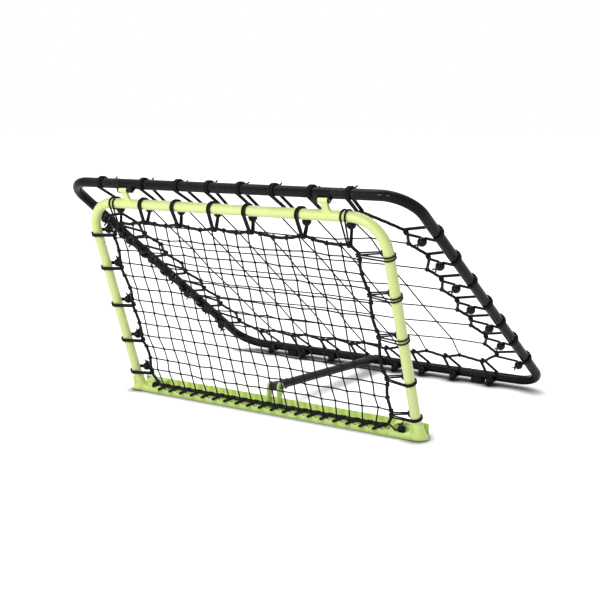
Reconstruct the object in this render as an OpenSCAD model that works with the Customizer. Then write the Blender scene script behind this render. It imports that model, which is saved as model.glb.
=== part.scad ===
// Pitch back rebounder: a lawn football trainer with two framed nets that stand in a wedge.
// X runs along the bars, -Y is the side of the fine net, Z is up, and the ground is at Z = 0.
// Each frame is drawn in its own plane: x along its bar, s down its slope, d up and to the rear.

/* [Frame tubes] */
// Outer diameter of the frame tubes
tube_d = 30; // [28:0.5:32]
// Wall of the frame tubes
tube_wall = 1.5; // [1:0.1:2]
// Radial clearance of a swaged tube end in its socket
spigot_fit = 0.2; // [0.1:0.05:0.4]
// Length of a swaged tube end
spigot_l = 42; // [34:1:60]
// Gap left between two tube ends that meet
seam_gap = 0.2; // [0.1:0.05:0.5]

/* [Rear frame] */
// Outer width of the rear frame
rear_w = 1240; // [1200:5:1400]
// Horizontal distance from the rear frame's top bar to its bottom bar, axis to axis
rear_run = 885; // [850:5:950]
// Bend radius of the rear frame's corners, to the tube axis
rear_bend_r = 87; // [70:1:110]
// Half length of the rear top bar between its joints
rear_top_half = 375; // [370:1:380]
// Half length of the rear bottom bar between its joints
rear_bottom_half = 320; // [300:1:335]
// Straight length of a rear corner beyond its bend, along the side
rear_corner_leg = 80; // [70:1:95]

/* [Front frame] */
// Distance between the two front legs, axis to axis
front_w = 1040; // [1000:5:1080]
// Height of the front top bar's axis
front_h = 634.5; // [625:0.5:640]
// Forward lean of the front frame from the vertical, in degrees
front_lean = 17.85; // [16:0.05:19]
// Distance that the front top bar's axis lies behind the rear top bar's axis
front_setback = 8.3; // [6:0.1:10]
// Distance that the front top bar's axis lies below the rear top bar's axis
front_drop = 59.7; // [58:0.1:64]
// Bend radius of the front frame's corners, to the tube axis
front_bend_r = 97; // [80:1:115]
// Place of the seam in the front top bar, from the middle
seam_x = 171; // [150:1:190]
// Straight length of a front corner beyond its bend, down to the leg
front_corner_leg = 64; // [60:1:70]

/* [Base beam] */
// Distance from the legs' foot line to the beam's front edge
base_front = 20.7; // [20:0.1:24]
// Distance from the legs' foot line to the beam's rear face
base_back = 39; // [36:0.5:44]
// Thickness of the beam's floor
base_floor = 3; // [2:0.1:4]
// Thickness of the pleated front wall
pleat_t = 1.6; // [1.2:0.1:2]
// Distance that the pleats' crests stand back from the beam's front edge
pleat_depth = 7.5; // [6:0.1:8]
// Height of the front wall at the pleats' crests
crest_h = 16.5; // [15:0.1:18]
// Height of the front wall at the pleats' valleys
valley_h = 11; // [9:0.1:12]
// Distance from a mesh strand to the crest that its lacing hooks over
crest_shift = 10.7; // [9:0.1:12]
// Height of the rear wall
back_h = 37; // [33:0.5:42]
// Thickness of the rear wall between its flutes
back_t = 4.8; // [4.2:0.1:6]
// Depth of the flutes in the rear wall
flute_depth = 1.8; // [1:0.1:2.4]
// Distance from a leg's axis to the inner face of the beam's end block
end_block_l = 89; // [84:1:92]
// Wall of the leg sleeves at their mouth
sleeve_wall = 2.4; // [2:0.1:4]
// Extra wall that a leg sleeve gains down to the ground
sleeve_flare = 3.2; // [2:0.1:5]
// Height of the leg sleeves' mouths
sleeve_h = 48; // [42:0.5:56]
// Radial clearance of a leg in its sleeve
leg_fit = 0.15; // [0.1:0.05:0.3]

/* [Hinges] */
// Distance from the middle to each hinge
hinge_x = 354; // [340:1:360]
// Diameter of the hinge barrels
barrel_d = 14; // [13:0.5:15]
// Length of the hinge barrels
barrel_l = 30; // [26:0.5:34]
// Gap between a hinge barrel and the rear top bar
barrel_gap = 0.8; // [0.5:0.1:2]
// Diameter of the hinge pins
hinge_pin_d = 6; // [5:0.5:7]
// Radial running clearance of the hinge pins in their barrels
hinge_fit = 0.08; // [0.05:0.01:0.1]
// Gap between a barrel's end and each ear
hinge_side_gap = 0.4; // [0.3:0.05:0.8]
// Thickness of the outer hinge ear
ear_t = 4; // [3:0.5:6]
// Length of the inner hinge boss
boss_l = 22; // [18:1:24]
// Width of the hinge neck
neck_w = 21; // [18:0.5:24]
// Thickness of the hinge neck
neck_t = 9; // [7:0.5:12]

/* [Strut] */
// Outer diameter of the strut tube
strut_d = 27; // [25:0.5:28]
// Wall of the strut tube
strut_wall = 1.2; // [1:0.1:2]
// Height of the lug bolt's axis
lug_bolt_h = 72; // [68:0.5:78]
// Distance from the legs' foot line to the lug bolt's axis
lug_bolt_y = 35; // [32:0.5:36]
// Diameter of the lug bolt
lug_bolt_d = 8; // [7:0.5:8]
// Distance between the two lugs, middle to middle
lug_pitch = 38; // [36:0.5:40]
// Thickness of each lug
lug_t = 6; // [5:0.5:7]
// Radius of the lugs' heads
lug_r = 14; // [12:0.5:15]
// Distance that the strut's rear pin lies in front of the rear bottom bar's axis
strut_pin_ahead = 32.5; // [30:0.5:36]
// Height of the strut's rear pin above the rear bottom bar's axis
strut_pin_above = 13.7; // [12:0.1:16]
// Diameter of the strut's rear pin
strut_pin_d = 8; // [7:0.5:9]
// Radial running clearance of the strut's rear end on its pin
strut_fit = 0.08; // [0.05:0.01:0.1]
// Width of the strut's rear tongue
tongue_w = 16; // [14:0.5:18]
// Gap between the strut's jaw and the lug bolt
jaw_gap = 0.5; // [0.4:0.05:0.8]

/* [Fine front net] */
// Columns of mesh in the front net
front_cols = 20; // [18:1:20]
// Rows of mesh in the front net
front_rows = 13; // [12:1:14]
// Thickness of the front net's strands
front_strand = 3; // [2.5:0.1:3.4]
// Diameter of the front net's edge rope
front_rope_d = 8; // [7:0.5:9]
// Distance from the left leg's axis to the edge rope where a cord pulls it
front_gap_left = 65; // [60:1:75]
// Distance from the right leg's axis to the edge rope where a cord pulls it
front_gap_right = 75; // [65:1:85]
// Distance from the front top bar's axis to the edge rope where a cord pulls it
front_gap_top = 60; // [54:1:66]
// Height of the bottom edge rope's axis above the ground
front_rope_h = 25; // [24.5:0.5:28]
// Depth of the edge rope's sag between two cords at the top
front_sag_top = 17; // [8:0.5:20]
// Depth of the edge rope's sag between two cords at the sides
front_sag_side = 12; // [6:0.5:16]

/* [Coarse rear net] */
// Thickness of the rear net's strands
rear_strand = 3.2; // [2.5:0.1:4]
// Diameter of the rear net's edge rope
rear_rope_d = 7; // [6:0.5:8]
// Distance from a rear side tube's axis to the edge rope between the cords
rear_gap_side = 118; // [110:1:125]
// Distance from the rear top bar's axis to the edge rope between the cords
rear_gap_top = 104; // [98:1:112]
// Distance from the rear bottom bar's axis to the edge rope between the cords
rear_gap_bottom = 134; // [125:1:140]
// Distance that a cord pulls the rear edge rope out of its line at the sides
rear_pull_side = 30; // [20:1:36]
// Distance that a cord pulls the rear edge rope out of its line at the top and bottom
rear_pull_end = 22; // [16:1:30]

/* [Elastic cords] */
// Diameter of the elastic cords
cord_d = 5; // [4:0.1:5.4]
// Gap between an elastic cord and the tube that it goes round
cord_gap = 0.3; // [0.2:0.05:0.6]
// Gap between an elastic cord and the edge rope that it goes round
rope_gap = 0.5; // [0.4:0.05:0.8]
// Gap between an elastic cord and the strand that it passes beside
strand_gap = 1.6; // [1.4:0.1:2.4]
// Diameter of the cords' balls
ball_d = 25; // [22:0.5:26]
// Diameter of the lacing cord along the base beam
lacing_d = 4.4; // [3.8:0.1:4.8]
// Diameter of the lacing cord's two end balls
lacing_ball_d = 20; // [18:0.5:21]

/* [Feet and screws] */
// Height of the rubber feet below the rear bottom bar
foot_h = 12.9; // [10:0.1:16]
// Width of the rubber feet along the bar
foot_w = 37; // [30:1:40]
// Depth of the rubber feet across the bar
foot_l = 34; // [32:1:38]
// Distance from the middle to each rubber foot
foot_x = 375; // [368:1:382]
// Shank diameter of the frame screws
screw_d = 5; // [4:0.5:6]
// Head diameter of the frame screws
screw_head_d = 9; // [8:0.5:10]
// Height of the frame screws' heads
screw_head_h = 2.6; // [2:0.1:3.5]
// Radial clearance of the screws in their holes
screw_fit = 0.15; // [0.1:0.05:0.3]

/* [Hidden] */
$fn = 48;
lime = [0.80, 0.88, 0.48];
leaf_green = [0.70, 0.86, 0.32];
black = [0.10, 0.10, 0.11];
rubber = [0.05, 0.05, 0.05];
steel = [0.75, 0.76, 0.78];

// Tube radii.
tube_r = tube_d / 2;
bore_r = tube_r - tube_wall;
spigot_r = bore_r - spigot_fit;
spigot_bore_r = spigot_r - tube_wall;
screw_back = 20;                 // from a seam to its screw, along the socket
socket_back = 4;                 // length over which a bore narrows before its swaged end

// The rear frame's plane.
rear_half = rear_w / 2 - tube_r;
rear_bar_z = front_h + front_drop;
rear_rise = rear_bar_z - tube_r - foot_h;
rear_slope = atan(rear_rise / rear_run);
rear_len = norm([rear_run, rear_rise]);

// Cord and rope radii.
cord_r = cord_d / 2;
wrap_r = tube_r + cord_gap + cord_r;
wrap_reach = wrap_r + cord_r;

// The hinge axis lies square under the rear top bar. The part is centred between the hinge
// ears at the front and the cords round the bottom bar at the rear.
ear_r = barrel_d / 2 + 1;
boss_r = barrel_d / 2;
hinge_drop = tube_r + barrel_gap + barrel_d / 2;
front_reach = max(wrap_reach, hinge_drop * sin(rear_slope) + ear_r);
rear_bar_y = (front_reach - wrap_reach) / 2 - rear_run / 2;
hinge_y = rear_bar_y - hinge_drop * sin(rear_slope);
hinge_z = rear_bar_z - hinge_drop * cos(rear_slope);

// The front frame's plane.
front_slope = 90 - front_lean;
front_half = front_w / 2;
front_len = front_h / cos(front_lean);
front_bar_y = rear_bar_y + front_setback;
foot_y = front_bar_y + front_h * tan(front_lean);
front_joint_s = front_bend_r + front_corner_leg;
leg_end_s = front_len - (base_floor + 0.3 + tube_r * sin(front_lean)) / cos(front_lean);

// A point of each plane in the part's own frame.
function front_pt(x, s, d) = [
  x,
  front_bar_y + s * cos(front_slope) + d * sin(front_slope),
  front_h - s * sin(front_slope) + d * cos(front_slope)
];
module in_front_plane() translate([0, front_bar_y, front_h]) rotate([-front_slope, 0, 0]) children();
module in_rear_plane() translate([0, rear_bar_y, rear_bar_z]) rotate([-rear_slope, 0, 0]) children();

// The strut's line from the lug bolt to the rear pin.
lug_bolt = [0, foot_y + lug_bolt_y, lug_bolt_h];
strut_pin_at = [0, rear_bar_y + rear_run - strut_pin_ahead, tube_r + foot_h + strut_pin_above];
strut_len = norm(strut_pin_at - lug_bolt);
strut_dip = atan((lug_bolt[2] - strut_pin_at[2]) / (strut_pin_at[1] - lug_bolt[1]));
strut_r = strut_d / 2;
plug_r = strut_r - strut_wall - spigot_fit;
strut_tube_start = 26;           // from the lug bolt to the tube's front end
strut_tube_stop = 15;            // from the rear pin to the tube's rear end
front_plug_l = 62;
rear_plug_l = 55;
front_screw_u = 59;              // from the lug bolt to the front screw
rear_screw_u = 48;               // from the rear pin to the rear screw
// Along the strut: y runs from the lug bolt to the rear pin, z is square above it.
module along_strut() translate(lug_bolt) rotate([-strut_dip, 0, 0]) children();

// ---- Grids of the two nets, as rows of points [x, s] in the frames' planes ----

// A rope's sag between the cords that pull it: 0 at a cord, 1 halfway to the next.
function span(v, hooks, k = 0) =
  v <= hooks[0] || v >= hooks[len(hooks) - 1] ? 0
  : v <= hooks[k + 1] ? (1 - cos(360 * (v - hooks[k]) / (hooks[k + 1] - hooks[k]))) / 2
  : span(v, hooks, k + 1);

front_x0 = -front_half + front_gap_left;
front_x1 = front_half - front_gap_right;
front_s0 = front_gap_top;
front_s1 = front_len - front_rope_h / cos(front_lean);
col_w = (front_x1 - front_x0) / front_cols;
row_h = (front_s1 - front_s0) / front_rows;
beside = front_strand / 2 + cord_r + strand_gap;   // from a strand to a cord that passes beside it
// Columns and rows of mesh at which a cord pulls the front net's rope.
front_top_cols = [0.4, 3, 6, 9, 12, 15.7, 19];
front_side_rows = [1, 3.5, 6.4, 9.4, 12.1];
front_top_x = [for (c = front_top_cols) front_x0 + c * col_w + beside];
front_side_s = [for (r = front_side_rows) front_s0 + r * row_h + beside];
function front_x(c) = front_x0 + c * col_w;
function front_s(r) = front_s0 + r * row_h;
// Each row is drawn in at its ends and each column at its top, and the middle follows.
front_grid = [for (r = [0:front_rows]) [for (c = [0:front_cols])
  let (
    u = c / front_cols,
    v = r / front_rows,
    sag = front_sag_side * span(front_s(r), front_side_s),
    drop = front_sag_top * span(front_x(c), front_top_x)
  )
  [front_x(c) + sag * (1 - 2 * u), front_s(r) + drop * (1 - v)]
]];

// Hooks of the rear net, where a cord pulls its rope out between two strands.
rear_end_hooks = [-457, -308, -185, -58, 64, 180, 300, 430];
rear_side_hooks = [170, 305, 430, 552, 672, 786, 920];
hook_l = 4;                      // half length of rope that a cord holds straight
net_gap = 0.2;                   // from a net's strands to its edge rope
function between(h) = [for (k = [0:len(h) - 2]) (h[k] + h[k + 1]) / 2];
rear_xs = concat([-rear_half + rear_gap_side], between(rear_end_hooks), [rear_half - rear_gap_side]);
rear_ss = concat([rear_gap_top], between(rear_side_hooks), [rear_len - rear_gap_bottom]);
rear_grid = [for (s = rear_ss) [for (x = rear_xs) [x, s]]];

// The edge of a grid as one loop. Between two strands a cord may pull it outward.
function edge(grid) = let (n = len(grid) - 1, m = len(grid[0]) - 1) concat(
  [for (c = [0:m]) grid[0][c]],
  [for (r = [1:n]) grid[r][m]],
  [for (k = [1:m]) grid[n][m - k]],
  [for (k = [1:n - 1]) grid[n - k][0]]
);
function with_pulls(loop, cols, rows, pull_x, pull_s, hooks_x, hooks_s) = [
  for (k = [0:len(loop) - 1])
  let (
    a = loop[k],
    side = k < cols ? 0 : k < cols + rows ? 1 : k < 2 * cols + rows ? 2 : 3
  )
  each side == 0 ? [a, [hooks_x[k] - hook_l, a[1] - pull_s], [hooks_x[k] + hook_l, a[1] - pull_s]]
  : side == 1 ? let (s = hooks_s[k - cols])
    [a, [a[0] + pull_x, s - hook_l], [a[0] + pull_x, s + hook_l]]
  : side == 2 ? let (x = hooks_x[2 * cols + rows - 1 - k])
    [a, [x + hook_l, a[1] + pull_s], [x - hook_l, a[1] + pull_s]]
  : let (s = hooks_s[2 * (cols + rows) - 1 - k])
    [a, [a[0] - pull_x, s + hook_l], [a[0] - pull_x, s - hook_l]]
];
front_edge = edge(front_grid);
rear_cols = len(rear_xs) - 1;
rear_rows = len(rear_ss) - 1;
rear_edge = with_pulls(edge(rear_grid), rear_cols, rear_rows, rear_pull_side, rear_pull_end,
                       rear_end_hooks, rear_side_hooks);

// A closed loop moved inward by a distance, with mitred corners.
function unit(v) = v / norm(v);
function inward(e) = [-e[1], e[0]];
function inset(loop, by) = [for (k = [0:len(loop) - 1])
  let (
    n = len(loop),
    n1 = inward(unit(loop[k] - loop[(k + n - 1) % n])),
    n2 = inward(unit(loop[(k + 1) % n] - loop[k]))
  )
  loop[k] + by * (n1 + n2) / (1 + n1 * n2)
];

// A flat net: a plate inside its rope, with one hole for each mesh. The outer holes run out
// under the rope, so that each strand ends against it.
module net(grid, loop, strand, rope_d, pull) {
  rows = len(grid) - 1;
  cols = len(grid[0]) - 1;
  h = strand / 2;
  far = rope_d + pull;
  difference() {
    translate([0, 0, -h]) linear_extrude(strand) polygon(inset(loop, rope_d / 2 + net_gap));
    for (r = [0:rows - 1], c = [0:cols - 1]) {
      left = c == 0 ? -far : h;
      right = c == cols - 1 ? far : -h;
      top = r == 0 ? -far : h;
      bottom = r == rows - 1 ? far : -h;
      translate([0, 0, -strand]) linear_extrude(2 * strand) polygon([
        grid[r][c] + [left, top], grid[r][c + 1] + [right, top],
        grid[r + 1][c + 1] + [right, bottom], grid[r + 1][c] + [left, bottom]]);
    }
  }
}

// ---- Shared shapes ----

// Draws a flat shape given in (y, z), and extrudes it along X.
module along_x(x0, length) translate([x0, 0, 0]) rotate([90, 0, 90]) linear_extrude(length) children();

// A tube along +Z from 0 to its length, with a swaged end beyond it if asked.
module tube(length, swaged = false) rotate_extrude() polygon(swaged
  ? [[bore_r, 0], [tube_r, 0], [tube_r, length], [spigot_r, length], [spigot_r, length + spigot_l],
     [spigot_bore_r, length + spigot_l], [spigot_bore_r, length], [bore_r, length - socket_back]]
  : [[bore_r, 0], [tube_r, 0], [tube_r, length], [bore_r, length]]);

// A tube along +Z, swaged at both ends.
module double_swaged_tube(length) {
  translate([0, 0, length / 2]) tube(length / 2, true);
  translate([0, 0, length / 2]) mirror([0, 0, 1]) tube(length / 2, true);
}

// A quarter bend in the XY plane, from the X axis round to the Y axis.
module bend(bend_r) rotate_extrude(angle = 90) translate([bend_r, 0]) difference() {
  circle(r = tube_r);
  circle(r = bore_r);
}

// A corner in the XY plane: its bend is centred at the origin, one leg runs along +Y from
// [-bend_r, 0], and the other along +X from [0, -bend_r].
module corner(bend_r, leg, run, swaged_run = false) {
  rotate([0, 0, 180]) bend(bend_r);
  translate([-bend_r, 0, 0]) rotate([-90, 0, 0]) tube(leg);
  translate([0, -bend_r, 0]) rotate([0, 90, 0]) tube(run, swaged_run);
}

// A hole for a frame screw, and the screw, square to a tube's axis along +Z.
module screw_hole() cylinder(h = tube_d, d = screw_d + 2 * screw_fit);
module frame_screw() {
  translate([0, 0, spigot_bore_r - 3]) cylinder(h = tube_r - spigot_bore_r + 3.2, d = screw_d);
  translate([0, 0, tube_r + 0.05]) cylinder(h = screw_head_h * 0.6, d = screw_head_d);
  translate([0, 0, tube_r + 0.05 + screw_head_h * 0.6])
    cylinder(h = screw_head_h * 0.4, d1 = screw_head_d, d2 = screw_head_d * 0.6);
}

// A closed rope of eight sides along a flat loop.
module rope_loop(loop, r) {
  n = len(loop);
  mitre = [for (k = [0:n - 1])
    let (
      n1 = inward(unit(loop[k] - loop[(k + n - 1) % n])),
      n2 = inward(unit(loop[(k + 1) % n] - loop[k]))
    )
    (n1 + n2) / (1 + n1 * n2)];
  pts = [for (k = [0:n - 1], a = [22.5:45:337.5])
    [loop[k][0] + r * cos(a) * mitre[k][0], loop[k][1] + r * cos(a) * mitre[k][1], r * sin(a)]];
  faces = [for (k = [0:n - 1], i = [0:7])
    let (
      a = 8 * k + i,
      b = 8 * k + (i + 1) % 8,
      c = 8 * ((k + 1) % n) + i,
      d = 8 * ((k + 1) % n) + (i + 1) % 8
    )
    each [[a, c, b], [b, c, d]]];
  polyhedron(pts, faces);
}

// A tube of six sides along an open path. Each ring is turned as little as can be.
function turned(dirs, k, u) = k >= len(dirs) ? []
  : let (v = unit(u - (u * dirs[k]) * dirs[k])) concat([v], turned(dirs, k + 1, v));
module cord_along(path, r) {
  n = len(path);
  dirs = [for (k = [0:n - 1]) unit(path[min(k + 1, n - 1)] - path[max(k - 1, 0)])];
  side = turned(dirs, 0, [0, 0, 1]);
  pts = [for (k = [0:n - 1], a = [0:60:300])
    path[k] + r * (cos(a) * side[k] + sin(a) * cross(dirs[k], side[k]))];
  walls = [for (k = [0:n - 2], i = [0:5])
    let (a = 6 * k + i, b = 6 * k + (i + 1) % 6)
    each [[a, a + 6, b], [b, a + 6, b + 6]]];
  ends = [for (i = [1:4]) each [[0, i, i + 1], [6 * n - 6, 6 * n - 6 + i + 1, 6 * n - 6 + i]]];
  polyhedron(pts, concat(walls, ends));
}

// ---- Front frame ----

module front_corner_left() color(lime) in_front_plane() difference() {
  translate([-front_half + front_bend_r, front_bend_r, 0])
    corner(front_bend_r, front_corner_leg, front_half - front_bend_r + seam_x);
  translate([seam_x - screw_back, 0, 0]) screw_hole();
  translate([-front_half, front_joint_s - screw_back, 0]) rotate([0, 90, 0]) screw_hole();
}

module front_corner_right() color(lime) in_front_plane() difference() {
  translate([front_half - front_bend_r, front_bend_r, 0]) mirror([1, 0, 0])
    corner(front_bend_r, front_corner_leg, front_half - front_bend_r - seam_x - seam_gap, true);
  translate([seam_x - screw_back, 0, 0]) screw_hole();
  translate([front_half, front_joint_s - screw_back, 0]) rotate([0, -90, 0]) screw_hole();
}

module front_leg(side) in_front_plane() translate([side * front_half, 0, 0]) difference() {
  translate([0, leg_end_s, 0]) rotate([90, 0, 0]) tube(leg_end_s - front_joint_s - seam_gap, true);
  translate([0, front_joint_s - screw_back, 0]) rotate([0, -90 * side, 0]) screw_hole();
  translate([0, sleeve_screw_s, 0]) rotate([0, 90 * side, 0]) screw_hole();
}
module front_leg_left() color(lime) front_leg(-1);
module front_leg_right() color(lime) front_leg(1);

module front_frame_screws() color(steel) in_front_plane() {
  translate([seam_x - screw_back, 0, 0]) frame_screw();
  for (side = [-1, 1])
    translate([side * front_half, front_joint_s - screw_back, 0]) rotate([0, -90 * side, 0]) frame_screw();
}

// ---- Base beam ----

base_end_x = front_half + 9.5;
end_block_x = front_half - end_block_l;
front_edge_y = foot_y - base_front;
back_face_y = foot_y + base_back;
crest_y = front_edge_y + 1 + pleat_depth;
corner_cut = 9;
sleeve_mouth_r = tube_r + leg_fit + sleeve_wall;
sleeve_mouth_s = front_len - sleeve_h / cos(front_lean);
sleeve_screw_h = 17;
sleeve_screw_s = front_len - sleeve_screw_h / cos(front_lean);
sleeve_head_r = tube_r + leg_fit + 1.8;    // from the leg's axis to the seat of a sleeve screw's head
bowl_x = end_block_x + 37;
bowl_z = 27;
bowl_half_l = 34;
bowl_half_w = 20;
bowl_y = foot_y + 3;

// The pleated wall's middle line: 1 at a crest and 0 at a valley.
function pleat(x) = let (t = (x - front_x(1) + crest_shift) / col_w) abs(2 * (t - floor(t)) - 1);
function pleat_y(x) = crest_y - pleat_depth * (1 - pleat(x));
pleat_xs = concat([-end_block_x],
  [for (k = [0:2 * front_cols])
    let (x = front_x(k / 2) - crest_shift)
    if (abs(x) < end_block_x - 1) x],
  [end_block_x]);

module pleated_wall() {
  half = pleat_t * 0.55;
  linear_extrude(crest_h) polygon(concat(
    [for (x = pleat_xs) [x, pleat_y(x) - half]],
    [for (k = [1:len(pleat_xs)]) let (x = pleat_xs[len(pleat_xs) - k]) [x, pleat_y(x) + half]]));
}

module fluted_wall() {
  land = 3;
  chord = (col_w - land) / 2;
  flute_r = (chord * chord + flute_depth * flute_depth) / (2 * flute_depth);
  difference() {
    translate([-base_end_x, back_face_y - back_t, 0]) cube([2 * base_end_x, back_t, back_h]);
    for (c = [1:front_cols - 2])
      translate([front_x(c + 0.5), back_face_y - back_t - flute_r + flute_depth, base_floor])
        cylinder(h = back_h, r = flute_r, $fn = 128);
  }
}

module end_block(side) {
  x0 = side > 0 ? end_block_x : -front_half + 12;
  along_x(x0, front_half - 12 - end_block_x) polygon([
    [front_edge_y, 0], [back_face_y, 0], [back_face_y, back_h], [back_face_y - back_t, back_h],
    [crest_y, crest_h + 1.5], [front_edge_y, valley_h + 2.5]]);
}

// A long bowl for the lacing's end ball, open to the top and dipped at the front.
module bowl(side) {
  translate([side * bowl_x, bowl_y, bowl_z]) rotate([0, 90, 0]) rotate_extrude() polygon([
    for (a = [-90:15:90]) [bowl_half_w * cos(a), bowl_half_l * sin(a)]]);
  translate([side * bowl_x, bowl_y, valley_h + 46]) rotate([90, 0, 0]) cylinder(h = 60, r = 44, $fn = 96);
}

module leg_sleeve(side) in_front_plane() translate([side * front_half, sleeve_mouth_s, 0])
  rotate([-90, 0, 0]) rotate_extrude() polygon(concat(
    [[0, 0]],
    [for (a = [0:15:90])
      [sleeve_mouth_r + sleeve_flare * (1 - cos(a)), (front_len - sleeve_mouth_s) * sin(a)]],
    [[sleeve_mouth_r + sleeve_flare, 1.6 * sleeve_h], [0, 1.6 * sleeve_h]]));

module leg_bore(side) in_front_plane() translate([side * front_half, 0, 0]) {
  translate([0, leg_end_s + 0.3, 0]) rotate([90, 0, 0]) cylinder(h = 2 * sleeve_h, r = tube_r + leg_fit);
  translate([0, sleeve_screw_s, 0]) rotate([0, 90 * side, 0]) {
    screw_hole();
    translate([0, 0, sleeve_head_r]) cylinder(h = 20, d = screw_head_d + 0.6);
  }
}

module strut_lug(x) along_x(x - lug_t / 2, lug_t) {
  translate([lug_bolt[1], lug_bolt[2]]) circle(r = lug_r);
  polygon([
    [foot_y + 11, base_floor / 2], [back_face_y, base_floor / 2], [back_face_y, back_h],
    [lug_bolt[1] + lug_r * 0.96, lug_bolt[2] - 3], [lug_bolt[1] - lug_r * 0.96, lug_bolt[2] - 3]]);
}

module base_beam() color(leaf_green) difference() {
  union() {
    linear_extrude(base_floor) polygon([
      [-base_end_x, back_face_y], [-base_end_x, front_edge_y + corner_cut],
      [-base_end_x + corner_cut, front_edge_y], [base_end_x - corner_cut, front_edge_y],
      [base_end_x, front_edge_y + corner_cut], [base_end_x, back_face_y]]);
    fluted_wall();
    difference() {
      union() {
        pleated_wall();
        translate([-end_block_x, crest_y, 0]) cube([2 * end_block_x, pleat_t, crest_h]);
      }
      along_x(-base_end_x, 2 * base_end_x) polygon([
        [crest_y - 2 * pleat_depth, 2 * valley_h - crest_h], [crest_y, crest_h], [crest_y, 60],
        [crest_y - 2 * pleat_depth, 60]]);
    }
    for (side = [-1, 1]) {
      end_block(side);
      leg_sleeve(side);
      strut_lug(side * lug_pitch / 2);
    }
  }
  for (side = [-1, 1]) {
    leg_bore(side);
    bowl(side);
  }
  translate([-lug_pitch, lug_bolt[1], lug_bolt[2]]) rotate([0, 90, 0])
    cylinder(h = 2 * lug_pitch, d = lug_bolt_d + 2 * screw_fit);
  translate([-front_w, foot_y - front_half, -sleeve_h]) cube([2 * front_w, front_w, sleeve_h]);
}

module sleeve_screws() color(steel) in_front_plane() for (side = [-1, 1])
  translate([side * front_half, sleeve_screw_s, 0]) rotate([0, 90 * side, 0]) {
    translate([0, 0, bore_r - 2]) cylinder(h = sleeve_head_r - bore_r + 2.5, d = screw_d);
    translate([0, 0, sleeve_head_r + 0.05]) cylinder(h = 2, d = screw_head_d);
  }

bolt_head_t = 5;
bolt_head_d = 15;
lug_out_x = (lug_pitch + lug_t) / 2;
module lug_bolt() color(steel) translate([0, lug_bolt[1], lug_bolt[2]]) rotate([0, 90, 0]) {
  translate([0, 0, -lug_out_x - 0.1]) cylinder(h = 2 * lug_out_x + 9, d = lug_bolt_d);
  translate([0, 0, -lug_out_x - 0.1 - bolt_head_t]) cylinder(h = bolt_head_t, d = bolt_head_d, $fn = 6);
}
module lug_nut() color(steel) translate([lug_out_x + 0.1, lug_bolt[1], lug_bolt[2]]) rotate([0, 90, 0])
  difference() {
    cylinder(h = 6.5, d = bolt_head_d, $fn = 6);
    translate([0, 0, -1]) cylinder(h = 9, d = lug_bolt_d + 0.1);
  }

// ---- Hinges ----

neck_rise = [hinge_y - front_bar_y, hinge_z - front_h];
neck_len = norm(neck_rise);
neck_turn = atan2(neck_rise[1], neck_rise[0]);
weld_r = 7;
module hinge_lug(side) translate([side * hinge_x, front_bar_y, front_h]) rotate([neck_turn, 0, 0])
  difference() {
    union() {
      translate([0, 0, -neck_t / 2]) linear_extrude(neck_t) polygon(concat(
        [[neck_w / 2, neck_len]],
        [for (a = [180:15:270]) [neck_w / 2 + weld_r + weld_r * cos(a), tube_r + weld_r + weld_r * sin(a)]],
        [[neck_w / 2 + weld_r, 0], [-neck_w / 2 - weld_r, 0]],
        [for (a = [270:15:360]) [-neck_w / 2 - weld_r + weld_r * cos(a), tube_r + weld_r + weld_r * sin(a)]],
        [[-neck_w / 2, neck_len]]));
      translate([-barrel_l / 2, neck_len, 0]) rotate([0, 90, 0]) cylinder(h = barrel_l, d = barrel_d);
    }
    translate([-front_w, 0, 0]) rotate([0, 90, 0]) cylinder(h = 2 * front_w, r = tube_r + 0.05);
    translate([-barrel_l, neck_len, 0]) rotate([0, 90, 0])
      cylinder(h = 2 * barrel_l, d = hinge_pin_d + 2 * hinge_fit);
  }
module hinge_lug_left() color(lime) hinge_lug(-1);
module hinge_lug_right() color(lime) hinge_lug(1);

ear_x = barrel_l / 2 + hinge_side_gap;      // from a hinge's middle to the inside of its ears
pin_tip = 6;                                // plain end of the boss past the pin
module ear_outline(r) difference() {
  union() {
    translate([0, -hinge_drop]) circle(r = r);
    polygon([[-r * 0.96, -hinge_drop], [r * 0.96, -hinge_drop], [r + 3, -8], [-r - 3, -8]]);
  }
  circle(r = tube_r + 0.05);
}
module hinge_ears(side) in_rear_plane() translate([side * hinge_x, 0, 0]) mirror([side > 0 ? 0 : 1, 0, 0])
  difference() {
    union() {
      along_x(ear_x, ear_t) ear_outline(ear_r);
      along_x(-ear_x - boss_l + 3, boss_l - 3) ear_outline(boss_r);
      translate([-ear_x - boss_l, 0, -hinge_drop]) rotate([0, 90, 0])
        cylinder(h = 3, r1 = boss_r - 3, r2 = boss_r);
    }
    translate([-ear_x - boss_l + pin_tip, 0, -hinge_drop]) rotate([0, 90, 0])
      cylinder(h = 3 * barrel_l, d = hinge_pin_d + 0.1);
  }
module hinge_ears_left() color(black) hinge_ears(-1);
module hinge_ears_right() color(black) hinge_ears(1);

module hinge_pin(side) in_rear_plane() translate([side * hinge_x, 0, -hinge_drop])
  mirror([side > 0 ? 0 : 1, 0, 0]) rotate([0, 90, 0]) {
    translate([0, 0, -ear_x - boss_l + pin_tip + 0.2])
      cylinder(h = 2 * ear_x + boss_l + ear_t - pin_tip, d = hinge_pin_d);
    translate([0, 0, ear_x + ear_t + 0.1]) cylinder(h = 2.4, d = hinge_pin_d + 5);
    translate([0, 0, ear_x + ear_t + 2.5]) cylinder(h = 1.6, d1 = hinge_pin_d + 5, d2 = hinge_pin_d);
  }
module hinge_pin_left() color(steel) hinge_pin(-1);
module hinge_pin_right() color(steel) hinge_pin(1);

// ---- Rear frame ----

rear_joint_s = rear_bend_r + rear_corner_leg;

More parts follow.
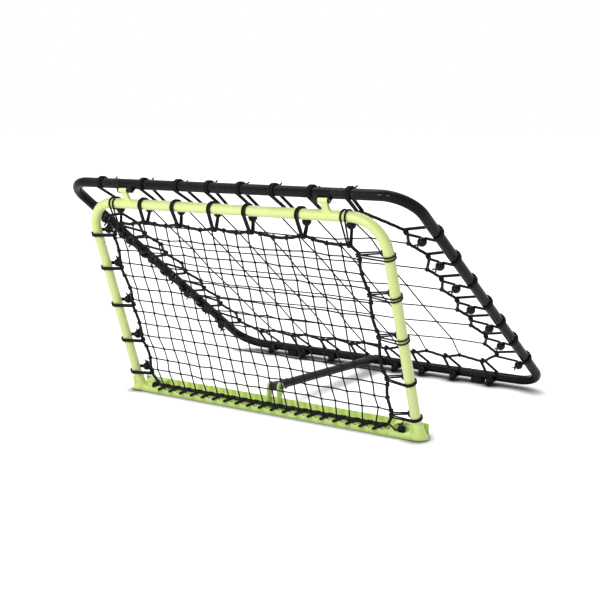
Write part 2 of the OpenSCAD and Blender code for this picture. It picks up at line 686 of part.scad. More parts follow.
module rear_bar(half) difference() {
  translate([seam_gap - half, 0, 0]) rotate([0, 90, 0]) double_swaged_tube(2 * (half - seam_gap));
  for (side = [-1, 1])
    translate([side * (half + screw_back), 0, 0]) screw_hole();
}
module rear_top_bar() color(black) in_rear_plane() rear_bar(rear_top_half);
module rear_bottom_bar() color(black) difference() {
  in_rear_plane() translate([0, rear_len, 0]) rear_bar(rear_bottom_half);
  bracket_screw_places() screw_hole();
}

module rear_side(side) in_rear_plane() translate([side * rear_half, 0, 0]) difference() {
  translate([0, rear_joint_s + seam_gap, 0]) rotate([-90, 0, 0])
    double_swaged_tube(rear_len - 2 * rear_joint_s - 2 * seam_gap);
  translate([0, rear_joint_s - screw_back, 0]) screw_hole();
  translate([0, rear_len - rear_joint_s + screw_back, 0]) screw_hole();
}
module rear_side_left() color(black) rear_side(-1);
module rear_side_right() color(black) rear_side(1);

// A rear corner, drawn for the top left and mirrored to the others.
module rear_corner(half) difference() {
  translate([-rear_half + rear_bend_r, rear_bend_r, 0])
    corner(rear_bend_r, rear_corner_leg, rear_half - rear_bend_r - half);
  translate([-half - screw_back, 0, 0]) screw_hole();
  translate([-rear_half, rear_joint_s - screw_back, 0]) screw_hole();
}
module rear_corner_top_left() color(black) in_rear_plane() rear_corner(rear_top_half);
module rear_corner_top_right() color(black) in_rear_plane() mirror([1, 0, 0]) rear_corner(rear_top_half);
module rear_corner_bottom_left() color(black) in_rear_plane() translate([0, rear_len, 0])
  mirror([0, 1, 0]) rear_corner(rear_bottom_half);
module rear_corner_bottom_right() color(black) in_rear_plane() translate([0, rear_len, 0])
  mirror([0, 1, 0]) mirror([1, 0, 0]) rear_corner(rear_bottom_half);

module rear_frame_screws() color(steel) in_rear_plane() for (side = [-1, 1]) {
  translate([side * (rear_top_half + screw_back), 0, 0]) frame_screw();
  translate([side * (rear_bottom_half + screw_back), rear_len, 0]) frame_screw();
  translate([side * rear_half, rear_joint_s - screw_back, 0]) frame_screw();
  translate([side * rear_half, rear_len - rear_joint_s + screw_back, 0]) frame_screw();
}

bottom_bar_y = rear_bar_y + rear_run;
bottom_bar_z = tube_r + foot_h;
module rubber_foot(side) along_x(side * foot_x - foot_w / 2, foot_w) difference() {
  polygon([
    [bottom_bar_y - foot_l / 2 + 3, 0], [bottom_bar_y + foot_l / 2 - 3, 0],
    [bottom_bar_y + foot_l / 2, 3], [bottom_bar_y + foot_l / 2 - 1, foot_h + 7],
    [bottom_bar_y - foot_l / 2 + 1, foot_h + 7], [bottom_bar_y - foot_l / 2, 3]]);
  translate([bottom_bar_y, bottom_bar_z]) circle(r = tube_r + 0.05);
}
module rubber_foot_left() color(rubber) rubber_foot(-1);
module rubber_foot_right() color(rubber) rubber_foot(1);

// ---- Nets and their ropes ----

module front_net() color(black) in_front_plane()
  net(front_grid, front_edge, front_strand, front_rope_d, 0);
module front_net_rope() color(black) in_front_plane() rope_loop(front_edge, front_rope_d / 2);
module rear_net() color(black) in_rear_plane()
  net(rear_grid, rear_edge, rear_strand, rear_rope_d, rear_pull_side);
module rear_net_rope() color(black) in_rear_plane() rope_loop(rear_edge, rear_rope_d / 2);

// ---- Ball cords ----

// Each is a loop of elastic round the frame tube and the net's rope, drawn through its ball.
// It is drawn in the XY plane: the tube's axis at the origin, the rope's at [reach, 0].
ball_r = ball_d / 2;
ball_seat = tube_r + ball_r + cord_gap;      // from a tube's axis to a ball that rests on it
// A straight run laps into the turns at its ends, which are thicker by a hair.
lap = 0.2;
turn_extra = 0.02;
module straight(p, q, lap_p = lap) {
  along = unit(q - p);
  translate(p - lap_p * along) rotate([0, 0, atan2(along[1], along[0])]) rotate([0, 90, 0])
    cylinder(h = norm(q - p) + lap_p + lap, r = cord_r, $fn = 24);
}
module to_ball(ball, at) straight(ball + (ball_r + 0.1) * unit(at - ball), at, 0);
module turn(at, r, from, to) translate(at) rotate([0, 0, from]) rotate_extrude(angle = to - from)
  translate([r, 0]) circle(r = cord_r + turn_extra, $fn = 24);
module ball_cord(reach, rope_d, ball, lean = 0) {
  round_r = (tube_r + cord_gap) / cos(lean) + cord_r;
  hook_r = rope_d / 2 + rope_gap + cord_r;
  back = acos((round_r - hook_r) / reach);
  off_tube = atan2(ball[1], ball[0]) + acos(round_r / norm(ball));
  off_rope = atan2(ball[1], ball[0] - reach) - acos(hook_r / norm(ball - [reach, 0]));
  turn([0, 0], round_r, off_tube, 360 - back);
  turn([reach, 0], hook_r, -back, off_rope);
  straight(round_r * [cos(back), -sin(back)], [reach, 0] + hook_r * [cos(back), -sin(back)]);
  to_ball(ball, round_r * [cos(off_tube), sin(off_tube)]);
  to_ball(ball, [reach, 0] + hook_r * [cos(off_rope), sin(off_rope)]);
}

// Where each cord stands in its frame's plane: the tube's side, the place along it, and the reach.
// A place turns the cord so that its own X points from the tube to the net.
module at_top(x, s, lean = 0) translate([x, s, 0]) rotate([0, 0, lean])
  translate([0, -s / cos(lean), 0]) rotate([90, 0, 90]) children();
module at_left(half, s) translate([-half, s, 0]) rotate([0, 0, -90]) rotate([90, 0, 90]) children();
module at_right(half, s) translate([half, s, 0]) rotate([0, 0, 90]) rotate([90, 0, 90]) children();
module at_bottom(x, s) translate([x, s, 0]) rotate([0, 0, 180]) rotate([90, 0, 90]) children();

top_lean = -6;
function round_tube(turn, clear = 0) = (ball_seat + clear) * [cos(turn), sin(turn)];
front_top_ball = round_tube(68);
front_left_ball = round_tube(35, 7.4);
front_right_ball = round_tube(40);
rear_top_ball = round_tube(32);
rear_bottom_ball = round_tube(56);
rear_side_ball = round_tube(22.7, 11);
function top_rope_s(x) = lookup(x, [for (p = front_grid[0]) p]);
function left_rope_x(s) = lookup(s, [for (row = front_grid) [row[0][1], row[0][0]]]);
function right_rope_x(s) = lookup(s, [for (row = front_grid) [row[front_cols][1], row[front_cols][0]]]);

module front_cords_top() color(black) in_front_plane() for (x = front_top_x)
  at_top(x, top_rope_s(x), top_lean)
    ball_cord(top_rope_s(x) / cos(top_lean), front_rope_d, front_top_ball, top_lean);
module front_cords_left() color(black) in_front_plane() for (s = front_side_s)
  at_left(front_half, s) ball_cord(front_half + left_rope_x(s), front_rope_d, front_left_ball);
module front_cords_right() color(black) in_front_plane() for (s = front_side_s)
  at_right(front_half, s) ball_cord(front_half - right_rope_x(s), front_rope_d, front_right_ball);
module front_balls() color(black) in_front_plane() {
  for (x = front_top_x)
    at_top(x, top_rope_s(x), top_lean) translate(front_top_ball) sphere(d = ball_d);
  for (s = front_side_s) {
    at_left(front_half, s) translate(front_left_ball) sphere(d = ball_d);
    at_right(front_half, s) translate(front_right_ball) sphere(d = ball_d);
  }
}

rear_side_reach = rear_gap_side - rear_pull_side;
rear_top_reach = rear_gap_top - rear_pull_end;
rear_bottom_reach = rear_gap_bottom - rear_pull_end;
module rear_cords_top() color(black) in_rear_plane() for (x = rear_end_hooks)
  at_top(x, 0) ball_cord(rear_top_reach, rear_rope_d, rear_top_ball);
module rear_cords_bottom() color(black) in_rear_plane() for (x = rear_end_hooks)
  at_bottom(x, rear_len) mirror([0, 1, 0]) ball_cord(rear_bottom_reach, rear_rope_d, rear_bottom_ball);
module rear_cords_left() color(black) in_rear_plane() for (s = rear_side_hooks)
  at_left(rear_half, s) mirror([0, 1, 0]) ball_cord(rear_side_reach, rear_rope_d, rear_side_ball);
module rear_cords_right() color(black) in_rear_plane() for (s = rear_side_hooks)
  at_right(rear_half, s) mirror([0, 1, 0]) ball_cord(rear_side_reach, rear_rope_d, rear_side_ball);
module rear_balls() color(black) in_rear_plane() {
  for (x = rear_end_hooks) {
    at_top(x, 0) translate(rear_top_ball) sphere(d = ball_d);
    at_bottom(x, rear_len) mirror([0, 1, 0]) translate(rear_bottom_ball) sphere(d = ball_d);
  }
  for (s = rear_side_hooks) {
    at_left(rear_half, s) mirror([0, 1, 0]) translate(rear_side_ball) sphere(d = ball_d);
    at_right(rear_half, s) mirror([0, 1, 0]) translate(rear_side_ball) sphere(d = ball_d);
  }
}

// ---- Lacing along the base beam ----

// One cord runs along the bottom rope. Before each strand it drops in front of the rope, turns
// in the pleat in front of a crest and comes back up past the strand.
lacing_r = lacing_d / 2;
lacing_gap = 0.8;                                   // between the lacing and the rope
lacing_off = front_rope_d / 2 + lacing_r + lacing_gap;
function round_rope(x, a) = front_pt(x, front_s1 - lacing_off * cos(a), -lacing_off * sin(a));
lacing_beside = front_strand / 2 + lacing_r + 0.6;  // from a strand to the lacing beside it
lacing_turn = lacing_r + 0.4;                       // radius of the lacing's turn in a pleat
turn_y = front_edge_y + 3.1;
turn_z = base_floor + lacing_turn + lacing_r + 1.6;
// Down the wall's front from its crest: [y, z] over it, round its edge, and beside it.
over_crest = [
  [crest_y, crest_h + lacing_r + 0.5],
  [crest_y - 3, crest_h + 1.4],
  [crest_y - 4.6, crest_h - 2]
];
function lacing_at(k) = let (
    x = front_x(k),
    xc = x - crest_shift
  ) concat(
    [
      round_rope(x - lacing_beside - 4, 0),
      round_rope(x - lacing_beside - 1, 50),
      round_rope(x - lacing_beside - 1, 95)
    ],
    [for (p = over_crest) [xc - lacing_turn, p[0], p[1]]],
    [for (a = [180:45:360]) [xc + lacing_turn * cos(a), turn_y, turn_z + lacing_turn * sin(a)]],
    [for (i = [2:-1:0]) [xc + lacing_turn, over_crest[i][0], over_crest[i][1]]],
    [
      round_rope(x + lacing_beside - 1, 95),
      round_rope(x + lacing_beside, 50),
      round_rope(x + lacing_beside + 4, 0)
    ]
  );
lacing_ball_r = lacing_ball_d / 2;
lacing_ball_y = bowl_y;
lacing_ball_x = bowl_x - 6;
lacing_ball_z = bowl_z - bowl_half_w + 0.7 + lacing_ball_r;
// From the rope's front, under the rope and over the bowl's rim to the ball.
function lacing_end(side) = let (
    ball = [side * lacing_ball_x, lacing_ball_y, lacing_ball_z],
    under = [side * (bowl_x - 14), bowl_y - 10, front_rope_h - lacing_off + 0.1]
  ) [
    round_rope(side * (end_block_x + 4), 25),
    round_rope(side * (end_block_x + 12), 70),
    [side * (bowl_x - 18), foot_y - 14.6, front_rope_h - 5],
    under,
    ball + (lacing_ball_r + 0.1) * unit(under - ball)
  ];
function reversed(v) = [for (k = [1:len(v)]) v[len(v) - k]];

module base_lacing() color(black) cord_along(concat(
  reversed(lacing_end(-1)),
  [for (k = [1:front_cols - 1]) each lacing_at(k)],
  lacing_end(1)), lacing_r);
module lacing_balls() color(black) for (side = [-1, 1])
  translate([side * lacing_ball_x, lacing_ball_y, lacing_ball_z]) sphere(r = lacing_ball_r);

// ---- Strut ----

bracket_half_w = 26;
bracket_t = 2.6;
bracket_ear_t = 3;
bracket_ear_r = 9.5;
bracket_screw_x = 18;
bracket_screw_turn = 123;        // round the bottom bar, from the rear over the top
bracket_ear_x = tongue_w / 2 + 0.4;
pin_turn = atan2(strut_pin_above, -strut_pin_ahead);
pin_off = norm([strut_pin_ahead, strut_pin_above]);
// Round the bottom bar: y points from the bar's axis to the strut's pin.
module at_bracket() translate([0, bottom_bar_y, bottom_bar_z]) rotate([pin_turn, 0, 0]) children();

module strut_bracket() color(black) difference() {
  at_bracket() {
    along_x(-bracket_half_w, 2 * bracket_half_w) difference() {
      circle(r = tube_r + 0.05 + bracket_t);
      circle(r = tube_r + 0.05);
      polygon([[4, 60], [4, -60], [-60, -60], [-60, 60]]);
    }
    for (x = [bracket_ear_x, -bracket_ear_x - bracket_ear_t])
      along_x(x, bracket_ear_t) difference() {
        union() {
          translate([pin_off, 0]) circle(r = bracket_ear_r);
          polygon([
            [pin_off, bracket_ear_r * 0.96], [pin_off, -bracket_ear_r * 0.96],
            [tube_r - 3, -13], [tube_r - 3, 13]]);
        }
        circle(r = tube_r + 1);
        translate([pin_off, 0]) circle(d = strut_pin_d + 0.1);
      }
  }
  bracket_screw_places() screw_hole();
}
module bracket_screw_places() for (side = [-1, 1])
  translate([side * bracket_screw_x, bottom_bar_y, bottom_bar_z])
    rotate([bracket_screw_turn - 90, 0, 0]) children();
module strut_bracket_screws() color(steel) bracket_screw_places() {
  translate([0, 0, tube_r + 0.1 + bracket_t]) cylinder(h = 1.6, d = screw_head_d);
  translate([0, 0, tube_r + 1.7 + bracket_t]) cylinder(h = 1, d1 = screw_head_d, d2 = screw_head_d * 0.6);
  translate([0, 0, bore_r - 2]) cylinder(h = tube_wall + 2.2 + bracket_t, d = screw_d);
}
module strut_pin() color(steel) translate(strut_pin_at) rotate([0, 90, 0]) {
  reach = bracket_ear_x + bracket_ear_t;
  translate([0, 0, -reach - 0.1]) cylinder(h = 2 * reach + 3, d = strut_pin_d);
  translate([0, 0, -reach - 3.1]) cylinder(h = 3, d = strut_pin_d + 5);
  translate([0, 0, reach + 0.1]) cylinder(h = 2, d = strut_pin_d + 4);
}

collar_t = 3;
module plug(from, length, turn_back = false) translate([0, from, 0])
  rotate([turn_back ? 90 : -90, 0, 0]) {
    cylinder(h = collar_t, r = strut_r);
    translate([0, 0, collar_t]) cylinder(h = length, r = plug_r);
  }
module strut_screw_hole(u) translate([0, u, -strut_d])
  cylinder(h = 2 * strut_d, d = screw_d + 2 * screw_fit);
front_collar_u = strut_tube_start - collar_t - seam_gap;
rear_collar_u = strut_len - strut_tube_stop + collar_t + seam_gap;

module strut_tube() color(black) along_strut() difference() {
  translate([0, strut_tube_start, 0]) rotate([-90, 0, 0])
    cylinder(h = strut_len - strut_tube_start - strut_tube_stop, r = strut_r);
  rotate([-90, 0, 0]) cylinder(h = strut_len, r = strut_r - strut_wall);
  strut_screw_hole(front_screw_u);
  strut_screw_hole(strut_len - rear_screw_u);
}

// The jaw reaches over the lug bolt and down in front of it. Its mouth looks down and back,
// which is the way that the bolt leaves it when the frames fold.
jaw_r = 11.5;
jaw_w = 26;
mouth_turn = -40;
module strut_jaw() color(black) along_strut() difference() {
  union() {
    along_x(-jaw_w / 2, jaw_w) {
      circle(r = jaw_r);
      polygon([[0, jaw_r * 0.98], [front_collar_u + 1, plug_r], [front_collar_u + 1, -plug_r], [0, 0]]);
    }
    plug(front_collar_u, front_plug_l);
  }
  along_x(-jaw_w, 2 * jaw_w) {
    circle(r = lug_bolt_d / 2 + jaw_gap);
    rotate(mouth_turn) polygon([
      [0, lug_bolt_d / 2 + jaw_gap], [jaw_r * 2.5, lug_bolt_d / 2 + jaw_gap + 2.5],
      [jaw_r * 2.5, -20], [0, -lug_bolt_d / 2 - jaw_gap]]);
  }
  strut_screw_hole(front_screw_u);
}

tongue_r = 9;
module strut_tongue() color(black) along_strut() difference() {
  union() {
    along_x(-tongue_w / 2, tongue_w) {
      translate([strut_len, 0]) circle(r = tongue_r);
      polygon([
        [strut_len, tongue_r * 0.97], [strut_len, -tongue_r * 0.97],
        [rear_collar_u - 1, -tongue_r * 0.97], [rear_collar_u - 1, tongue_r * 0.97]]);
    }
    plug(rear_collar_u, rear_plug_l, true);
  }
  translate([-tongue_w, strut_len, 0]) rotate([0, 90, 0])
    cylinder(h = 2 * tongue_w, d = strut_pin_d + 2 * strut_fit);
  strut_screw_hole(strut_len - rear_screw_u);
}

// A screw through the strut from above, with its nut below.
module strut_screw(u) along_strut() translate([0, u, 0]) {
  translate([0, 0, -strut_r - 3]) cylinder(h = strut_d + 3.2, d = screw_d);
  translate([0, 0, strut_r + 0.1]) cylinder(h = 1.8, d = screw_head_d);
  translate([0, 0, strut_r + 1.9]) cylinder(h = 1.2, d1 = screw_head_d, d2 = screw_head_d * 0.6);
  translate([0, 0, -strut_r - 4.1]) difference() {
    cylinder(h = 4, d = screw_head_d, $fn = 6);
    translate([0, 0, -1]) cylinder(h = 6, d = screw_d + 0.1);
  }
}
module strut_front_screw() color(steel) strut_screw(front_screw_u);
module strut_rear_screw() color(steel) strut_screw(strut_len - rear_screw_u);

// ---- Nodes ----

base_beam();
front_leg_left();
front_leg_right();
front_corner_left();
front_corner_right();
front_frame_screws();
sleeve_screws();
hinge_lug_left();
hinge_lug_right();
front_net();
front_net_rope();
front_cords_top();
front_cords_left();
front_cords_right();
front_balls();
base_lacing();
lacing_balls();
lug_bolt();
lug_nut();
rear_top_bar();
rear_bottom_bar();
rear_side_left();
rear_side_right();
rear_corner_top_left();
rear_corner_top_right();
rear_corner_bottom_left();
rear_corner_bottom_right();
rear_frame_screws();
hinge_ears_left();
hinge_ears_right();
hinge_pin_left();
hinge_pin_right();
rear_net();
rear_net_rope();
rear_cords_top();
rear_cords_bottom();
rear_cords_left();
rear_cords_right();
rear_balls();
rubber_foot_left();
rubber_foot_right();
strut_bracket();
strut_bracket_screws();
strut_pin();
strut_tube();
strut_jaw();
strut_tongue();
strut_front_screw();
strut_rear_screw();
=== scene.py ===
# %% [markdown]
# # A pitch back rebounder, dressed and lit
# The welded tubes, hinges, strut and moulded base arrive as finished CAD solids. The nets,
# ropes, elastic cords and lacing arrive only as plain stand-ins, so this lesson models them
# again as real cordage, gives every surface its finish, and lights the whole thing softly.
# All places are in millimetres in the frame's own directions: X along the bars, -Y to the
# front, Z up. They become metres only when a mesh is made.

import math

import bpy
import numpy as np
from mathutils import Matrix, Vector


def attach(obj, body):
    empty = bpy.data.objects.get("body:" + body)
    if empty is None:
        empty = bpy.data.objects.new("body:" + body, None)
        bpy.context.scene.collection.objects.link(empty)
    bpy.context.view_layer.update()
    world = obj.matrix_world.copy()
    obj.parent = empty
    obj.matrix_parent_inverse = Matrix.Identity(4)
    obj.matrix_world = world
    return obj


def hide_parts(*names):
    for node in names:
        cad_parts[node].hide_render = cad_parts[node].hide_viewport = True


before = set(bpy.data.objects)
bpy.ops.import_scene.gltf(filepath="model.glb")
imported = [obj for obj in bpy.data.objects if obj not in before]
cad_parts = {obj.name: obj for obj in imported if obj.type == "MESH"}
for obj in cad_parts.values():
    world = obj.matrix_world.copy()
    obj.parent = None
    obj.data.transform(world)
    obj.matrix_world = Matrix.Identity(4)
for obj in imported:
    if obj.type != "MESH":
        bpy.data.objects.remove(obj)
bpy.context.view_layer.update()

# %% [markdown]
# ## The camera comes first
# Everything else is judged through it. Its place is worked out from three angles and a
# distance, as one would note them in a studio: how far round the object, how high, and how
# much the camera was tipped. Writing the matrix ourselves keeps the roll exact.

# %% Camera
AZIMUTH, ELEVATION, ROLL = (math.radians(a) for a in (34.7697, 10.0694, -0.5479))
DISTANCE = 3.26206
AIM = Vector((0.119934, -0.229167, 0.356589))

back = Vector((
    math.sin(AZIMUTH) * math.cos(ELEVATION),
    -math.cos(AZIMUTH) * math.cos(ELEVATION),
    math.sin(ELEVATION),
))
level = Vector((math.cos(AZIMUTH), math.sin(AZIMUTH), 0))
upward = back.cross(level)
right = math.cos(ROLL) * level + math.sin(ROLL) * upward
above = -math.sin(ROLL) * level + math.cos(ROLL) * upward

camera_data = bpy.data.cameras.new("camera")
camera_data.sensor_width = 36
camera_data.lens = 66.76
camera = bpy.data.objects.new("camera", camera_data)
bpy.context.collection.objects.link(camera)
turn = Matrix((right, above, back)).transposed().to_4x4()
camera.matrix_world = Matrix.Translation(AIM + back * DISTANCE) @ turn
bpy.context.scene.camera = camera
print("Camera stands at", [round(v, 3) for v in camera.matrix_world.translation])

# %% [markdown]
# ## Two leaning planes
# Each net hangs in the plane of its own frame. A point of a plane is named by three
# numbers: x along the bars, s down the slope from the top bar's axis, and d square to the
# plane, towards the rear. Two small functions turn those into real places, so that every
# cord can be laid out as if it were flat on a bench.

# %% The planes of the two frames
TUBE_R = 15.0
FRONT_HALF, REAR_HALF = 520.0, 605.0
FRONT_BAR = (-433.493, 634.5)
REAR_BAR = (-441.793, 694.2)
FRONT_SLOPE, REAR_SLOPE = math.radians(72.15), math.radians(36.9754)
REAR_LEN = 1107.78
FOOT_Y = -229.167
X_DIR = np.array([1.0, 0.0, 0.0])
Z_AXIS = np.array([0.0, 0.0, 1.0])


def plane_pt(bar, slope, x, s, d):
    return np.array([
        x,
        bar[0] + s * math.cos(slope) + d * math.sin(slope),
        bar[1] - s * math.sin(slope) + d * math.cos(slope),
    ])


def front_pt(x, s, d=0.0):
    return plane_pt(FRONT_BAR, FRONT_SLOPE, x, s, d)


def rear_pt(x, s, d=0.0):
    return plane_pt(REAR_BAR, REAR_SLOPE, x, s, d)


def unit(v):
    return np.asarray(v, float) / np.linalg.norm(v)


print("The rear net's plane ends at", rear_pt(0, REAR_LEN).round(1), "mm")

# %% [markdown]
# ## Tools for making cordage
# Rope, twine and elastic are all the same thing to a modeller: a round section carried
# along a path. A curve object could do it, but then its rings could not be counted or
# shaped one by one. So the paths are made as plain lists of points first: walked in even
# steps, drawn softly through a few places, or with their corners rounded off.

# %% Paths
def resample(path, step, closed=False):
    p = np.asarray(path, float)
    if closed:
        p = np.vstack([p, p[:1]])
    at = np.concatenate([[0], np.cumsum(np.linalg.norm(np.diff(p, axis=0), axis=1))])
    t = np.linspace(0, at[-1], max(2, round(at[-1] / step)) + 1)
    out = np.stack([np.interp(t, at, p[:, k]) for k in range(3)], axis=1)
    return out[:-1] if closed else out


def smooth(points, per_span=6, closed=False):
    """A soft curve through every point."""
    p = np.asarray(points, float)
    n = len(p)
    spans = n if closed else n - 1
    t = np.arange(per_span)[:, None] / per_span
    out = []
    for k in range(spans):
        if closed:
            a, b, c, d = (p[(k + j) % n] for j in (-1, 0, 1, 2))
        else:
            a, b, c, d = (p[min(max(k + j, 0), n - 1)] for j in (-1, 0, 1, 2))
        out.append(0.5 * (2 * b + (c - a) * t + (2 * a - 5 * b + 4 * c - d) * t**2
                          + (3 * b - a - 3 * c + d) * t**3))
    if not closed:
        out.append(p[-1:])
    return np.vstack(out)


def eased(points, reach, closed=False):
    """The same path with each corner rounded off over that reach."""
    p = np.asarray(points, float)
    n = len(p)
    out = []
    for k in range(n):
        if not closed and k in (0, n - 1):
            out.append(p[k])
            continue
        before, after = p[k - 1] - p[k], p[(k + 1) % n] - p[k]
        r = min(reach, 0.45 * np.linalg.norm(before), 0.45 * np.linalg.norm(after))
        a, b = p[k] + r * unit(before), p[k] + r * unit(after)
        for t in (0, 0.25, 0.5, 0.75, 1):
            out.append((1 - t) ** 2 * a + 2 * t * (1 - t) * p[k] + t * t * b)
    return np.array(out)


# %% [markdown]
# The sweep turns its rings as little as it can from one to the next, so the section never
# twists by accident. It can cut lobes into the section and let them wind along the path,
# which is how a laid rope gets its strands. It also writes how far along and how far round
# each point lies into a UV map, so a material can draw a braid on it. The lathe does the
# same for anything turned, such as the balls.

# %% Sweeps and lathes
ROUND_END = ((0.96, 0.28), (0.8, 0.6), (0.45, 0.89))


def tube_faces(rings, sides, closed):
    k = np.arange(rings if closed else rings - 1)[:, None]
    i = np.arange(sides)[None]
    here, there = k * sides, ((k + 1) % rings) * sides
    after = (i + 1) % sides
    corner = np.stack([here + i, here + after, there + after, there + i], axis=-1)
    return corner.reshape(-1, 4)


def tube_uvs(along, sides, closed):
    u = np.append(along, 2 * along[-1] - along[-2]) if closed else along
    k = np.arange(len(u) - 1)[:, None] + 0 * np.arange(sides)[None]
    i = np.arange(sides)[None] + 0 * k
    one = np.stack([u[k], i / sides], -1)
    two = np.stack([u[k], (i + 1) / sides], -1)
    three = np.stack([u[k + 1], (i + 1) / sides], -1)
    four = np.stack([u[k + 1], i / sides], -1)
    return np.stack([one, two, three, four], axis=-2).reshape(-1, 2)


def sweep(path, radius, sides=8, closed=False, lobes=0, depth=0.0, pitch=1.0):
    """A round section along a path, as (points, four-sided faces, end faces, UVs)."""
    p = np.asarray(path, float)
    r = np.broadcast_to(np.asarray(radius, float), (len(p),))
    if not closed:
        a, b = unit(p[0] - p[1]), unit(p[-1] - p[-2])
        p = np.vstack([[p[0] + a * r[0] * x for x, _ in ROUND_END], p,
                       [p[-1] + b * r[-1] * x for x, _ in reversed(ROUND_END)]])
        r = np.concatenate([[r[0] * y for _, y in ROUND_END], r,
                            [r[-1] * y for _, y in reversed(ROUND_END)]])
    n = len(p)
    ahead = np.roll(p, -1, 0) - np.roll(p, 1, 0) if closed else np.gradient(p, axis=0)
    t = ahead / np.linalg.norm(ahead, axis=1, keepdims=True)
    u = np.zeros_like(p)
    u[0] = unit(np.cross(t[0], Z_AXIS if abs(t[0][2]) < 0.9 else (1, 0, 0)))
    for k in range(1, n):
        u[k] = unit(u[k - 1] - t[k] * (u[k - 1] @ t[k]))
    w = np.cross(t, u)
    steps = np.linalg.norm(np.diff(p, axis=0), axis=1)
    along = np.concatenate([[0], np.cumsum(steps)])
    spin = np.zeros(n)
    if closed:
        v = unit(u[-1] - t[0] * (u[-1] @ t[0]))
        spin = math.atan2(np.cross(v, u[0]) @ t[0], v @ u[0]) * np.arange(n) / n
        whole = along[-1] + np.linalg.norm(p[0] - p[-1])
        pitch = whole / max(1, round(whole / pitch))
    a = 2 * np.pi * np.arange(sides) / sides
    turned = a[None] + spin[:, None]
    winding = 2 * np.pi * along[:, None] / pitch
    ring = r[:, None] * (1 + depth * np.cos(lobes * a[None] - winding))
    points = (p[:, None] + (ring * np.cos(turned))[..., None] * u[:, None]
              + (ring * np.sin(turned))[..., None] * w[:, None]).reshape(-1, 3)
    ends = [] if closed else [list(range(sides))[::-1], list(range((n - 1) * sides, n * sides))]
    return points, tube_faces(n, sides, closed), ends, tube_uvs(along, sides, closed)


def lathe(profile, at, axis, sides=24):
    """A profile of (radius, height) turned round an axis."""
    axis = unit(axis)
    u = unit(np.cross(axis, Z_AXIS if abs(axis[2]) < 0.9 else (1, 0, 0)))
    w = np.cross(axis, u)
    a = 2 * np.pi * np.arange(sides) / sides
    points = np.array([
        np.asarray(at) + h * axis + r * (math.cos(b) * u + math.sin(b) * w)
        for r, h in profile for b in a])
    along = np.array([h for _, h in profile], float)
    ends = [list(range(sides))[::-1],
            list(range((len(profile) - 1) * sides, len(profile) * sides))]
    return points, tube_faces(len(profile), sides, False), ends, tube_uvs(along, sides, False)


# %% [markdown]
# One function gathers many swept parts into a single mesh: the piece rides on the body that carries
# it, hides the CAD solid it stands in for, and takes the material it is given.

# %% From parts to a piece
MM = 0.001


def add_piece(name, parts, material, body, stands_for=()):
    points, faces, uvs, base = [], [], [], 0
    for part_points, quads, ends, part_uvs in parts:
        points.append(part_points)
        faces += (quads + base).tolist() + [[base + i for i in end] for end in ends]
        uvs += [part_uvs, np.zeros((sum(len(end) for end in ends), 2))]
        base += len(part_points)
    mesh = bpy.data.meshes.new(name)
    mesh.from_pydata(np.vstack(points) * MM, [], faces)
    layer = mesh.uv_layers.new(name="lay")
    layer.data.foreach_set("uv", (np.vstack(uvs) * (MM, 1)).ravel())
    mesh.polygons.foreach_set("use_smooth", [True] * len(faces))
    mesh.materials.append(material)
    mesh.update()
    piece = bpy.data.objects.new(name, mesh)
    bpy.context.collection.objects.link(piece)
    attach(piece, body)
    if stands_for:
        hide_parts(*stands_for)
    print(f"{name}: {len(parts)} parts, {len(faces)} faces")
    return piece


# %% [markdown]
# ## Effects that several finishes share
# Grain, dust, wear, the lay of a rope, a braid and the shade in folds are each built once
# as a group of shader nodes. A group only works out patterns. The shader itself stays in
# each material, where its fixed numbers can be read at a glance.

# %% Helpers for shader groups
def new_group(name, inputs, outputs):
    group = bpy.data.node_groups.new(name, "ShaderNodeTree")
    for label, value in inputs:
        socket = group.interface.new_socket(label, in_out="INPUT", socket_type="NodeSocketFloat")
        socket.default_value = value
    for label in outputs:
        group.interface.new_socket(label, in_out="OUTPUT", socket_type="NodeSocketFloat")
    print(f"shader group: {name}, giving {', '.join(outputs)}")
    return group, group.nodes.new("NodeGroupInput"), group.nodes.new("NodeGroupOutput")


def plug(tree, source, target):
    """Joins an output to an input, or sets the input to a plain value."""
    if isinstance(source, bpy.types.NodeSocket):
        tree.links.new(source, target)
    else:
        target.default_value = source


def math_node(tree, operation, a, b=0.0, c=0.0, clamp=False):
    node = tree.nodes.new("ShaderNodeMath")
    node.operation = operation
    node.use_clamp = clamp
    for value, socket in zip((a, b, c), node.inputs):
        plug(tree, value, socket)
    return node.outputs[0]


def noise_node(tree, scale, detail=2.0, roughness=0.5, stretch=(1, 1, 1)):
    place = tree.nodes.new("ShaderNodeTexCoord")
    mapping = tree.nodes.new("ShaderNodeMapping")
    mapping.inputs["Scale"].default_value = stretch
    noise = tree.nodes.new("ShaderNodeTexNoise")
    tree.links.new(place.outputs["Object"], mapping.inputs["Vector"])
    tree.links.new(mapping.outputs[0], noise.inputs["Vector"])
    plug(tree, scale, noise.inputs["Scale"])
    noise.inputs["Detail"].default_value = detail
    noise.inputs["Roughness"].default_value = roughness
    return noise.outputs[0]


def range_node(tree, value, low, high, to_low=0.0, to_high=1.0):
    node = tree.nodes.new("ShaderNodeMapRange")
    for source, socket in zip((value, low, high, to_low, to_high), node.inputs):
        plug(tree, source, socket)
    return node.outputs[0]


# %% [markdown]
# Fine grain is what keeps paint and plastic from looking like glass: a broad, weak cloud
# of tone and a much smaller ripple for the bump.

